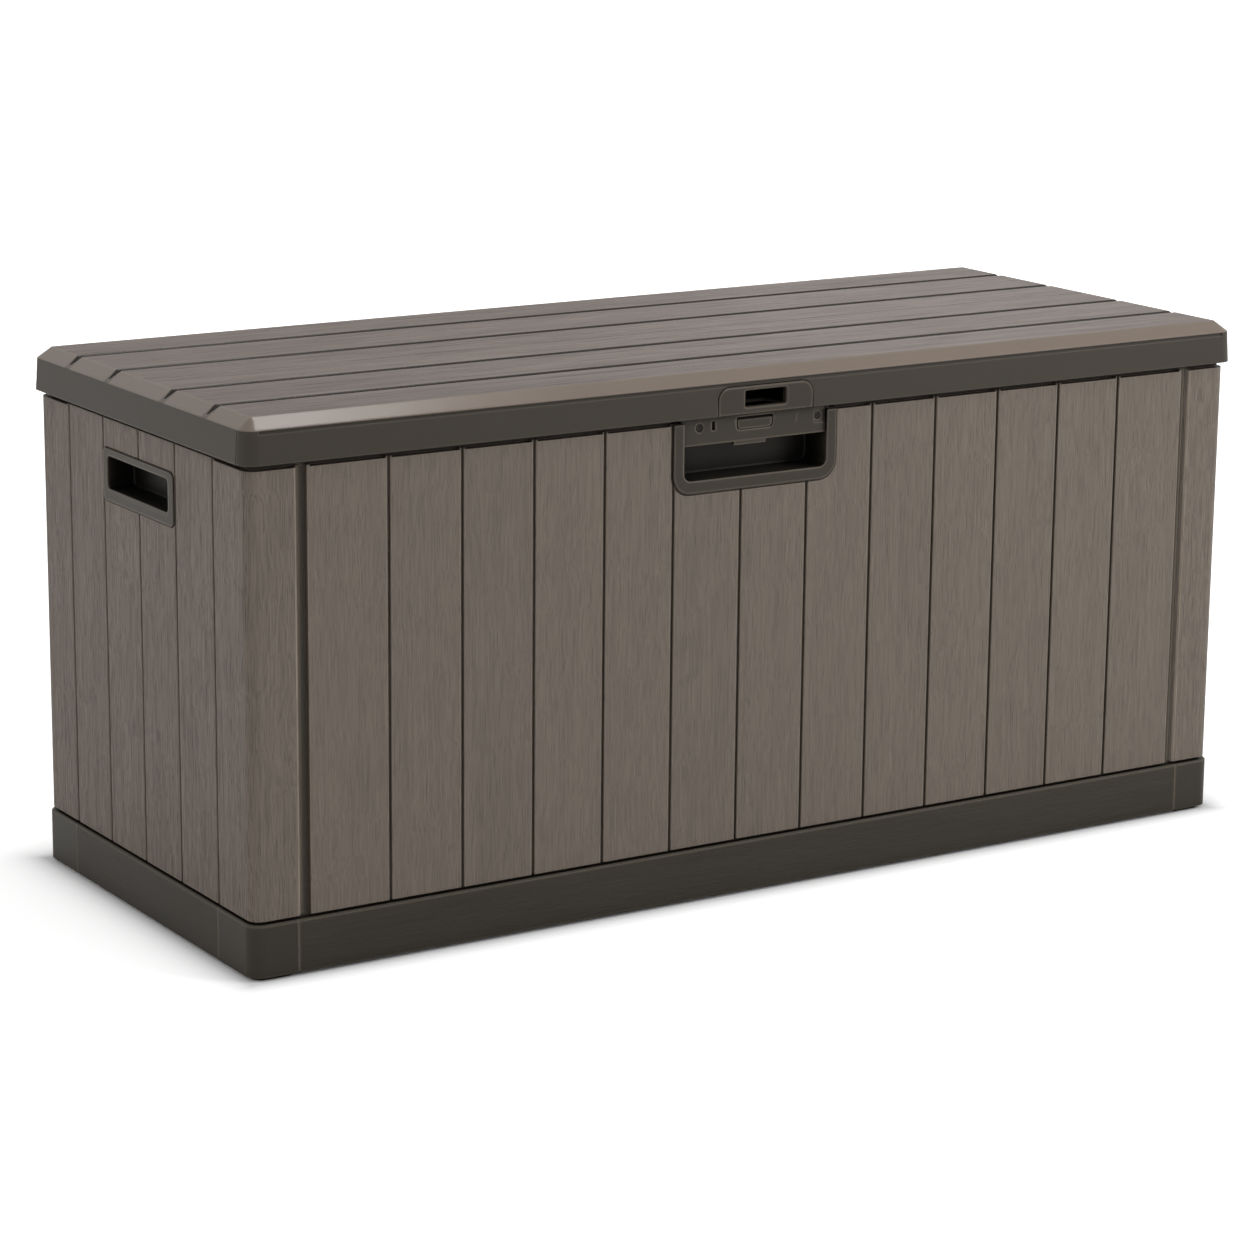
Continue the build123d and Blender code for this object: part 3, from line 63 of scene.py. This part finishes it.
# ---- edges and grain --------------------------------------------------------------
WALL_ROUND = 0.0026                    # edges are rounded and carry a painted highlight this wide, in metres
LID_ROUND = 0.003
TRIM_ROUND = 0.0036
STEEL_ROUND = 0.0005
WALL_GRAIN = 0.7                       # size of the grain on the walls and on the lid
LID_GRAIN = 1.9
PLANK_SHIFT = 7.0                      # most that a plank's grain is moved along it
GRAIN_DEPTH = 0.0007                   # relief of the wood grain, in metres
PLINTH_GRAIN_DEPTH = 0.0005
FINE_DEPTH = 0.0002                    # relief of mould texture and brush marks

# ---- linear colours ---------------------------------------------------------------
WALL_TONE = (0.150, 0.1235, 0.099)
SHADED_SIDE_TONE = (0.139, 0.1085, 0.0865)    # the same resin with painted shade, where it faces sideways
LID_TONE = (0.112, 0.088, 0.075)
BEVEL_TONE = (0.152, 0.121, 0.098)
TRIM_TONE = (0.043, 0.0360, 0.0275)
# trim resin painted lighter in the corner channels, as painted light
LIT_CHANNEL_TONE = (0.060, 0.0500, 0.0390)
PLINTH_TONE = (0.039, 0.0330, 0.0250)
LINER_TONE = (0.045, 0.039, 0.031)
STEEL_TONE = (0.36, 0.36, 0.355)
DARK_STEEL_TONE = (0.022, 0.020, 0.018)
FLOOR_TONE = (0.80, 0.80, 0.80)
WHITE = (1.0, 1.0, 1.0, 1.0)

# ---- specular level of each resin -------------------------------------------------
WALL_GLOSS = 0.3
LID_GLOSS = 0.16
TRIM_GLOSS = 0.14

# ---- light ------------------------------------------------------------------------
AMBIENT = 0.55                         # world strength on the object
LAMPS = {                              # place, target, size in metres, power in watts
    "top": ((0.20, -0.05, 2.3), (0.0, 0.0, 0.5), 0.6, 18.0),
    "key": ((1.9, -2.1, 1.7), (0.3, 0.0, 0.3), 1.4, 40.0),
    "fill": ((-3.4, -0.6, 1.8), (0.0, 0.0, 0.25), 2.0, 15.0),
    "sheen": ((3.0, 3.4, 1.3), (0.3, 0.0, 0.5), 1.2, 6.0),
}
FLOOR_HALF = 60.0                      # half side of the floor, in metres
FLOOR_GLOW = 0.60                      # lifts the floor to white for the eye round the box
FAR_GLOW = 0.30                        # added to it far from the box
FAR_FROM, FAR_TO = 1.0, 2.6            # where that part sets in and is full
PAINTED_SHADOW_REACH = 0.022                  # painted contact shadow: the lift fades out this near the box's foot


# ---- node helpers -----------------------------------------------------------------
class Graph:
    """Short calls that add and link the nodes of a material or a world."""

    def __init__(self, owner, output="ShaderNodeOutputMaterial"):
        owner.use_nodes = True
        self.owner = owner
        self.tree = owner.node_tree
        self.tree.nodes.clear()
        self.output = self.tree.nodes.new(output)

    def link(self, value, socket):
        """Link a socket, or set a plain value."""
        if isinstance(value, bpy.types.NodeSocket):
            self.tree.links.new(value, socket)
        else:
            socket.default_value = value

    def add(self, kind, settings=None, **inputs):
        """New node, with its settings and inputs given by name."""
        node = self.tree.nodes.new(kind)
        for key, value in (settings or {}).items():
            setattr(node, key, value)
        for key, value in inputs.items():
            self.link(value, node.inputs[key.replace("_", " ")])
        return node

    def math(self, operation, first, second=0.0, third=None):
        """Value of a maths node."""
        node = self.add("ShaderNodeMath", {"operation": operation})
        self.link(first, node.inputs[0])
        self.link(second, node.inputs[1])
        if third is not None:
            self.link(third, node.inputs[2])
        return node.outputs[0]

    def vector(self, operation, first, second=None):
        """Result of a vector maths node."""
        node = self.add("ShaderNodeVectorMath", {"operation": operation})
        self.link(first, node.inputs[0])
        if second is not None:
            self.link(second, node.inputs[1])
        return node.outputs["Value" if operation in ("DOT_PRODUCT", "LENGTH") else "Vector"]

    def noise(self, vector, scale=1.0, detail=2.0, roughness=0.5):
        """Noise between 0 and 1."""
        node = self.add("ShaderNodeTexNoise", Vector=vector, Scale=scale, Detail=detail,
                        Roughness=roughness)
        return node.outputs["Fac"]

    def remap(self, value, low, high, out_low=0.0, out_high=1.0):
        """Value moved from one range to another, clamped."""
        node = self.add("ShaderNodeMapRange")
        for index, item in enumerate((value, low, high, out_low, out_high)):
            self.link(item, node.inputs[index])
        return node.outputs["Result"]

    def tint(self, colour, factor):
        """Colour times a value that varies over the surface."""
        node = self.add("ShaderNodeVectorMath", {"operation": "SCALE"}, Scale=factor)
        self.link(colour, node.inputs[0])
        return node.outputs["Vector"]

    def blend(self, first, second, factor):
        """Colour mixed from two colours."""
        node = self.add("ShaderNodeMix", {"data_type": "RGBA"})
        self.link(factor, node.inputs[0])
        self.link(first, node.inputs[6])
        self.link(second, node.inputs[7])
        return node.outputs[2]

    def bump(self, height, strength, distance, normal=None):
        """Bumped normal."""
        node = self.add("ShaderNodeBump", Height=height, Strength=strength, Distance=distance)
        if normal is not None:
            self.link(normal, node.inputs["Normal"])
        return node.outputs["Normal"]

    def finish(self, shader):
        """Connect the shader and return the material or world."""
        self.tree.links.new(shader, self.output.inputs["Surface"])
        return self.owner


def rounded(graph, radius, sharp=0.86):
    """Normal with softened edges, and a mask that is 1 on the edges, where painted highlights go."""
    bevel = graph.add("ShaderNodeBevel", {"samples": 6}, Radius=radius).outputs["Normal"]
    flat = graph.add("ShaderNodeNewGeometry").outputs["Normal"]
    same = graph.vector("DOT_PRODUCT", bevel, flat)
    return bevel, graph.remap(same, 0.996, sharp)


def painted_crevice_shade(graph, reach, depth, low=0.25):
    """Painted shade: a factor under 1 in gaps and corners, where less light reaches."""
    occlusion = graph.add("ShaderNodeAmbientOcclusion", {"samples": 8}, Distance=reach)
    return graph.remap(occlusion.outputs["AO"], low, 0.95, 1.0 - depth, 1.0)


def object_point(graph):
    """Place on the piece, as a vector and as its x, y and z sockets."""
    point = graph.add("ShaderNodeTexCoord").outputs["Object"]
    split = graph.add("ShaderNodeSeparateXYZ", Vector=point)
    return point, split.outputs[:3]


def facing(graph, axis):
    """How far the surface faces along an axis of the piece, -1 to 1."""
    normal = graph.add("ShaderNodeTexCoord").outputs["Normal"]
    return graph.add("ShaderNodeSeparateXYZ", Vector=normal).outputs[axis]


def around(graph, value, amount, base=1.0):
    """Noise around 0.5 turned into a small change of a base value."""
    return graph.math("MULTIPLY_ADD", graph.math("SUBTRACT", value, 0.5), amount, base)


def distance_to(graph, value, line):
    """How far a value is from a line's place."""
    return graph.math("ABSOLUTE", graph.math("SUBTRACT", value, line))


def stretched(graph, axes, scales):
    """Vector with its axes scaled."""
    parts = [graph.math("MULTIPLY", value, scale) for value, scale in zip(axes, scales)]
    return graph.add("ShaderNodeCombineXYZ", X=parts[0], Y=parts[1], Z=parts[2]).outputs[0]


# ---- materials --------------------------------------------------------------------
def mould_texture(graph, point, normal, strength):
    """Fine spark-eroded mould texture."""
    fine = graph.noise(point, scale=2600.0, roughness=0.6)
    return graph.bump(fine, strength, FINE_DEPTH, normal)


def grain_fields(graph, axes, along, shift, size):
    """Streaks, pores and broad bands of moulded wood grain, running along one axis."""
    moved = list(axes)
    moved[along] = graph.math("ADD", moved[along], shift)

    def scales(across, lengthwise):
        return [(lengthwise if index == along else across) / size for index in range(3)]

    wander = graph.noise(stretched(graph, moved, scales(7.0, 9.0)))
    for index in range(3):
        if index != along:
            moved[index] = graph.math("MULTIPLY_ADD", wander, 0.010, moved[index])
    streaks = graph.noise(stretched(graph, moved, scales(520.0, 6.0)), detail=3.0, roughness=0.66)
    pores = graph.noise(stretched(graph, moved, scales(850.0, 20.0)), detail=1.0)
    bands = graph.noise(stretched(graph, moved, scales(50.0, 2.0)), roughness=0.6)
    return streaks, graph.remap(pores, 0.32, 0.46, 1.0, 0.0), bands


def plank_random(graph, place, lines=None, start=0.0, pitch=1.0, last=0.0):
    """Random value for each plank, from its groove lines or from an even pitch."""
    if lines:
        index = 0.0
        for line in lines:
            index = graph.math("ADD", index, graph.math("GREATER_THAN", place, line))
    else:
        pitches = graph.math("DIVIDE", graph.math("SUBTRACT", place, start), pitch)
        steps = graph.math("MAXIMUM", graph.math("FLOOR", pitches), -1.0)
        index = graph.math("MINIMUM", steps, last)
    noise = graph.add("ShaderNodeTexWhiteNoise", {"noise_dimensions": "1D"},
                      W=graph.math("ADD", index, 3.7))
    return noise.outputs["Value"]


def grain_value(graph, streaks, pores, bands, random, contrast):
    """Brightness of grained resin around 1."""
    value = around(graph, streaks, 0.80, 0.0)
    value = around(graph, bands, 0.26, value)
    value = graph.math("MULTIPLY_ADD", pores, -0.20, value)
    value = graph.math("MULTIPLY_ADD", value, contrast, 1.0)
    return around(graph, random, 0.05, value)


def resin_shader(graph, colour, roughness, normal, gloss):
    """Principled resin from its colour, roughness, normal and specular level."""
    shader = graph.add("ShaderNodeBsdfPrincipled", Base_Color=colour, Roughness=roughness,
                       Normal=normal)
    shader.inputs["Specular IOR Level"].default_value = gloss
    return graph.finish(shader.outputs[0])


def painted_return_highlight(graph, axes):
    """Painted highlight: 1 along the upright edge of a side panel's front return."""
    away = distance_to(graph, graph.math("ABSOLUTE", axes[0]), RETURN_LINE)
    near = graph.remap(away, RETURN_HALF, RETURN_HALF + RETURN_FADE, 1.0, 0.0)
    return graph.math("MULTIPLY", near, graph.math("LESS_THAN", axes[1], 0.0))


def wall_resin(name, plank_axis, contrast, depth, **planks):
    """Wall planks: upright moulded wood grain, with its own run and tone on each plank.
    Tone and grain change where a side panel turns round the corner to the front; its sideways faces
    take a darker tone as painted shade."""
    graph = Graph(bpy.data.materials.new(name))
    point, axes = object_point(graph)
    normal, edge = rounded(graph, WALL_ROUND)
    random = plank_random(graph, axes[plank_axis], **planks)
    shift = graph.math("MULTIPLY", random, PLANK_SHIFT)
    streaks, pores, bands = grain_fields(graph, axes, 2, shift, WALL_GRAIN)
    turned = graph.remap(graph.math("ABSOLUTE", facing(graph, 1)), 0.3, 0.8)
    fainter = graph.remap(turned, 0.0, 1.0, contrast, min(contrast, 1.1))
    value = grain_value(graph, streaks, pores, bands, random, fainter)
    # painted highlights on the edges and along the front return's upright edge
    value = graph.math("MULTIPLY_ADD", edge, 0.8, value)
    value = graph.math("MULTIPLY_ADD", painted_return_highlight(graph, axes), 0.9, value)
    # painted shade in grooves, gaps and under the lid's overhang
    value = graph.math("MULTIPLY", value, painted_crevice_shade(graph, reach=0.025, depth=0.45))
    relief = graph.math("MULTIPLY_ADD", pores, -0.6, streaks)
    normal = mould_texture(graph, point, normal, strength=0.08)
    normal = graph.bump(relief, 0.7 * depth, GRAIN_DEPTH, normal)
    rough = graph.remap(streaks, 0.25, 0.75, 0.62, 0.50)
    # sideways faces take the darker tone of painted shade
    tone = graph.blend((*SHADED_SIDE_TONE, 1.0), (*WALL_TONE, 1.0), turned)
    return resin_shader(graph, graph.tint(tone, value), rough, normal, WALL_GLOSS)


def lid_groove_shade_mask(graph, axes, upward, high):
    """Mask of painted shade: 1 on the walls of the grooves between the lid's planks."""
    nearest = 1.0
    for line in LID_LINES:
        nearest = graph.math("MINIMUM", distance_to(graph, axes[1], line), nearest)
    within = graph.remap(nearest, LID_GROOVE, LID_GROOVE + GROOVE_FADE, 1.0, 0.0)
    steep = graph.remap(upward, 0.78, 0.84, 1.0, 0.0)
    return graph.math("MULTIPLY", graph.math("MULTIPLY", within, steep), high)


def lid_resin(name):
    """Lid: grained planks on the flat top, smooth satin bevels and a darker skirt, with painted
    highlights on the edges and painted shade in creases and on the groove walls.
    """
    graph = Graph(bpy.data.materials.new(name))
    point, axes = object_point(graph)
    normal, edge = rounded(graph, LID_ROUND)
    random = plank_random(graph, axes[1], lines=LID_LINES)
    shift = graph.math("MULTIPLY", random, PLANK_SHIFT)
    streaks, pores, bands = grain_fields(graph, axes, 0, shift, LID_GRAIN)
    upward = facing(graph, 2)
    top = graph.remap(upward, 0.96, 0.995)
    high = graph.remap(axes[2], SKIRT_TOP, BEVEL_FOOT)
    cloud = graph.noise(point, scale=8.0, detail=3.0, roughness=0.6)
    plain = around(graph, cloud, 0.14)
    grained = grain_value(graph, streaks, pores, bands, random, contrast=2.0)
    colour = graph.blend(graph.tint(TRIM_TONE, plain), graph.tint(BEVEL_TONE, plain), high)
    colour = graph.blend(colour, graph.tint(LID_TONE, grained), top)
    # painted highlights on the edges, stronger on the skirt, and painted shade in creases
    painted_highlight = graph.math("MULTIPLY_ADD", edge, graph.math("MULTIPLY_ADD", high, -0.6, 1.2), 1.0)
    shade = graph.math("MULTIPLY", painted_highlight, painted_crevice_shade(graph, reach=0.006, depth=0.75))
    # painted shade on the walls of the grooves
    groove_wall_shade = lid_groove_shade_mask(graph, axes, upward, high)
    shade = graph.math("MULTIPLY", shade, graph.math("MULTIPLY_ADD", groove_wall_shade, -0.85, 1.0))
    relief = graph.math("MULTIPLY", graph.math("MULTIPLY_ADD", pores, -0.6, streaks), top)
    normal = mould_texture(graph, point, normal, strength=0.08)
    normal = graph.bump(relief, 0.7, GRAIN_DEPTH, normal)
    rough = graph.math("MULTIPLY_ADD", high, -0.24, graph.math("MULTIPLY_ADD", top, 0.28, 0.46))
    rough = graph.math("MULTIPLY_ADD", cloud, 0.06, rough)
    return resin_shader(graph, graph.tint(colour, shade), rough, normal, LID_GLOSS)


def smooth_resin(name, tone, roughness, grain_axis=None, reach=0.04, depth=0.9, painted_highlight=2.4,
                 pocket=False):
    """Satin moulded resin with mould texture, flow marks, painted highlights on the edges and
    painted shade in recesses.
    With a grain axis it has faint wood grain; a pocket gets deeper painted shade inside and on its
    floor."""
    graph = Graph(bpy.data.materials.new(name))
    point, axes = object_point(graph)
    normal, edge = rounded(graph, TRIM_ROUND, sharp=0.92)
    cloud = graph.noise(point, scale=7.0, detail=3.0, roughness=0.6)
    speck = graph.noise(point, scale=900.0, roughness=0.6)
    value = around(graph, speck, 0.12, around(graph, cloud, 0.20))
    normal = mould_texture(graph, point, normal, strength=0.14)
    if grain_axis is not None:
        streaks, pores, bands = grain_fields(graph, axes, grain_axis, shift=0.0, size=1.0)
        value = around(graph, bands, 0.32, around(graph, streaks, 0.4, value))
        relief = graph.math("SUBTRACT", streaks, pores)
        normal = graph.bump(relief, 0.4, PLINTH_GRAIN_DEPTH, normal)
    # painted highlights on the edges
    value = graph.math("MULTIPLY_ADD", edge, painted_highlight, value)
    # painted shade in gaps and recesses, deeper in a pocket
    value = graph.math("MULTIPLY", value, painted_crevice_shade(graph, reach, depth, 0.5 if pocket else 0.25))
    # a pocket also gets painted shade on its up-facing floor
    if pocket:
        painted_floor_shade = graph.remap(facing(graph, 2), 0.3, 0.9, 1.0, 0.45)
        value = graph.math("MULTIPLY", value, painted_floor_shade)
    rough = around(graph, cloud, 0.12, roughness)
    return resin_shader(graph, graph.tint(tone, value), rough, normal, TRIM_GLOSS)


def plated_steel(name, tone, roughness):
    """Plated steel, brushed from left to right, with dull patches and painted highlights on its
    edges.
    """
    graph = Graph(bpy.data.materials.new(name))
    point, axes = object_point(graph)
    normal, edge = rounded(graph, STEEL_ROUND)
    brushed = graph.noise(stretched(graph, axes, (90.0, 1500.0, 1500.0)))
    dull = graph.noise(point, scale=60.0, detail=3.0, roughness=0.6)
    # painted highlights on the edges
    value = graph.math("MULTIPLY_ADD", edge, 0.15, around(graph, dull, 0.30))
    shader = graph.add("ShaderNodeBsdfPrincipled", Base_Color=graph.tint(tone, value),
                       Roughness=graph.remap(brushed, 0.3, 0.7, roughness, roughness + 0.16),
                       Normal=graph.bump(brushed, 0.15, FINE_DEPTH, normal))
    shader.inputs["Metallic"].default_value = 1.0
    return graph.finish(shader.outputs[0])


# ---- CAD materials into their slots -----------------------------------------------
PAINTS = {
    "wall_x": wall_resin("wall_x", 0, contrast=0.85, depth=1.0, start=END_PLANK - FRONT_HALF,
                         pitch=FRONT_PITCH, last=FRONT_PLANKS - 2.0),
    "wall_y": wall_resin("wall_y", 1, contrast=2.1, depth=1.3, start=-SIDE_LINE,
                         pitch=SIDE_PITCH, last=SIDE_PLANKS * 1.0),
    "lid_resin": lid_resin("lid_resin"),
    "plinth_x": smooth_resin("plinth_x", PLINTH_TONE, roughness=0.5, grain_axis=0, reach=0.01),
    "plinth_y": smooth_resin("plinth_y", PLINTH_TONE, roughness=0.5, grain_axis=1, reach=0.01),
    "block_resin": smooth_resin("block_resin", PLINTH_TONE, roughness=0.46, reach=0.01),
    "trim_resin": smooth_resin("trim_resin", TRIM_TONE, roughness=0.44),
    # corner joints: trim resin painted lighter as painted light, with little painted shade
    "lit_joint_resin": smooth_resin("lit_joint_resin", LIT_CHANNEL_TONE, roughness=0.44, depth=0.1),
    "shaded_pocket_resin": smooth_resin("shaded_pocket_resin", TRIM_TONE, roughness=0.44, depth=0.93, pocket=True),
    "liner_resin": smooth_resin("liner_resin", LINER_TONE, roughness=0.55, depth=0.4, painted_highlight=0.8),
    "steel": plated_steel("steel", STEEL_TONE, roughness=0.32),
    "dark_steel": plated_steel("dark_steel", DARK_STEEL_TONE, roughness=0.34),
}


def paint_name(node, slot_name):
    """The paint for a node: grain follows the way the piece runs, pockets get deeper painted shade,
    corner joints a lighter trim tone as painted light.
    """
    if slot_name == "wall_resin":
        return "wall_x" if node in ("front_panel", "rear_panel") else "wall_y"
    if slot_name == "plinth_resin":
        return "plinth_x" if node in ("plinth_front", "plinth_rear") else "plinth_y"
    if node.startswith("corner_joint"):
        return "lit_joint_resin"
    if node in ("latch_housing", "handle_pocket_left", "handle_pocket_right"):
        return "shaded_pocket_resin"
    return slot_name


for part in frame["record"]["subparts"]:
    piece = frame["nodes"][part["node"]]
    piece.data.materials.clear()
    piece.data.materials.append(PAINTS[paint_name(part["node"], part["material_slot"])])


# ---- floor, world and lamps -------------------------------------------------------
def seen_by_eye(graph):
    """1 for camera, mirror and glass rays, 0 for rays that carry light to the object."""
    path = graph.add("ShaderNodeLightPath").outputs
    mirrored = graph.math("MAXIMUM", path["Is Glossy Ray"], path["Is Transmission Ray"])
    return graph.math("MAXIMUM", path["Is Camera Ray"], mirrored)


def make_floor():
    """Large pale floor under the feet, lifted to white for the eye away from the box, with a painted
    contact shadow round the box's foot.
    """
    mesh = bpy.data.meshes.new("floor")
    corners = [(x * FLOOR_HALF, y * FLOOR_HALF, 0) for x, y in ((-1, -1), (1, -1), (1, 1), (-1, 1))]
    mesh.from_pydata(corners, [], [(0, 1, 2, 3)])
    floor = bpy.data.objects.new("floor", mesh)
    bpy.context.scene.collection.objects.link(floor)
    graph = Graph(bpy.data.materials.new("floor_paper"))
    place = graph.add("ShaderNodeTexCoord").outputs["Object"]
    speck = graph.noise(place, scale=300.0)
    tone = graph.tint(FLOOR_TONE, graph.remap(speck, 0.3, 0.7, 0.985, 1.0))
    lit = graph.add("ShaderNodeBsdfDiffuse", Color=tone, Roughness=0.9)
    outside = graph.vector("SUBTRACT", graph.vector("ABSOLUTE", place), FOOT_HALF)
    away = graph.vector("LENGTH", graph.vector("MAXIMUM", outside, (0.0, 0.0, 0.0)))
    # painted contact shadow: the lift fades out towards the box's foot
    painted_shadow = graph.math("EXPONENT", graph.math("MULTIPLY", away, -1.0 / PAINTED_SHADOW_REACH))
    near = graph.math("MULTIPLY_ADD", painted_shadow, -FLOOR_GLOW, FLOOR_GLOW)
    distance = graph.vector("LENGTH", place)
    glow = graph.math("ADD", near, graph.remap(distance, FAR_FROM, FAR_TO, 0.0, FAR_GLOW))
    strength = graph.math("MULTIPLY", seen_by_eye(graph), glow)
    lift = graph.add("ShaderNodeEmission", Strength=strength)
    both = graph.add("ShaderNodeAddShader")
    graph.link(lit.outputs[0], both.inputs[0])
    graph.link(lift.outputs[0], both.inputs[1])
    mesh.materials.append(graph.finish(both.outputs[0]))


def make_world():
    """Even studio light on the box; the camera and mirrors see white."""
    world = bpy.data.worlds.new("studio")
    bpy.context.scene.world = world
    graph = Graph(world, "ShaderNodeOutputWorld")
    ambient = graph.add("ShaderNodeBackground", Color=WHITE, Strength=AMBIENT)
    white = graph.add("ShaderNodeBackground", Color=WHITE, Strength=1.0)
    mix = graph.add("ShaderNodeMixShader", Fac=seen_by_eye(graph))
    graph.link(ambient.outputs[0], mix.inputs[1])
    graph.link(white.outputs[0], mix.inputs[2])
    graph.finish(mix.outputs[0])


def soft_lamp(name, at, target, size, power):
    """Square area lamp turned to a target."""
    data = bpy.data.lights.new(name, "AREA")
    data.shape = "SQUARE"
    data.size = size
    data.energy = power
    lamp = bpy.data.objects.new(name, data)
    lamp.location = at
    lamp.rotation_mode = "QUATERNION"
    lamp.rotation_quaternion = (Vector(target) - Vector(at)).to_track_quat("-Z", "Y")
    bpy.context.scene.collection.objects.link(lamp)


def make_camera():
    """Camera at the measured place, from yaw, pitch and roll."""
    data = bpy.data.cameras.new("camera")
    data.sensor_width = SENSOR
    data.lens = LENS
    data.clip_start, data.clip_end = NEAR, FAR
    camera = bpy.data.objects.new("camera", data)
    forward = Vector((math.sin(CAMERA_YAW) * math.cos(CAMERA_PITCH),
                      math.cos(CAMERA_YAW) * math.cos(CAMERA_PITCH), -math.sin(CAMERA_PITCH)))
    right = Vector((math.cos(CAMERA_YAW), -math.sin(CAMERA_YAW), 0.0))
    up = right.cross(forward)
    turned_right = math.cos(CAMERA_ROLL) * right + math.sin(CAMERA_ROLL) * up
    turned_up = -math.sin(CAMERA_ROLL) * right + math.cos(CAMERA_ROLL) * up
    axes = Matrix((turned_right, turned_up, -forward)).transposed()
    camera.matrix_world = Matrix.Translation(CAMERA_AT) @ axes.to_4x4()
    bpy.context.scene.collection.objects.link(camera)
    bpy.context.scene.camera = camera


make_floor()
make_world()
for lamp_name, (at, target, size, power) in LAMPS.items():
    soft_lamp(lamp_name, at, target, size, power)
make_camera()
bpy.context.scene.view_settings.view_transform = "Standard"
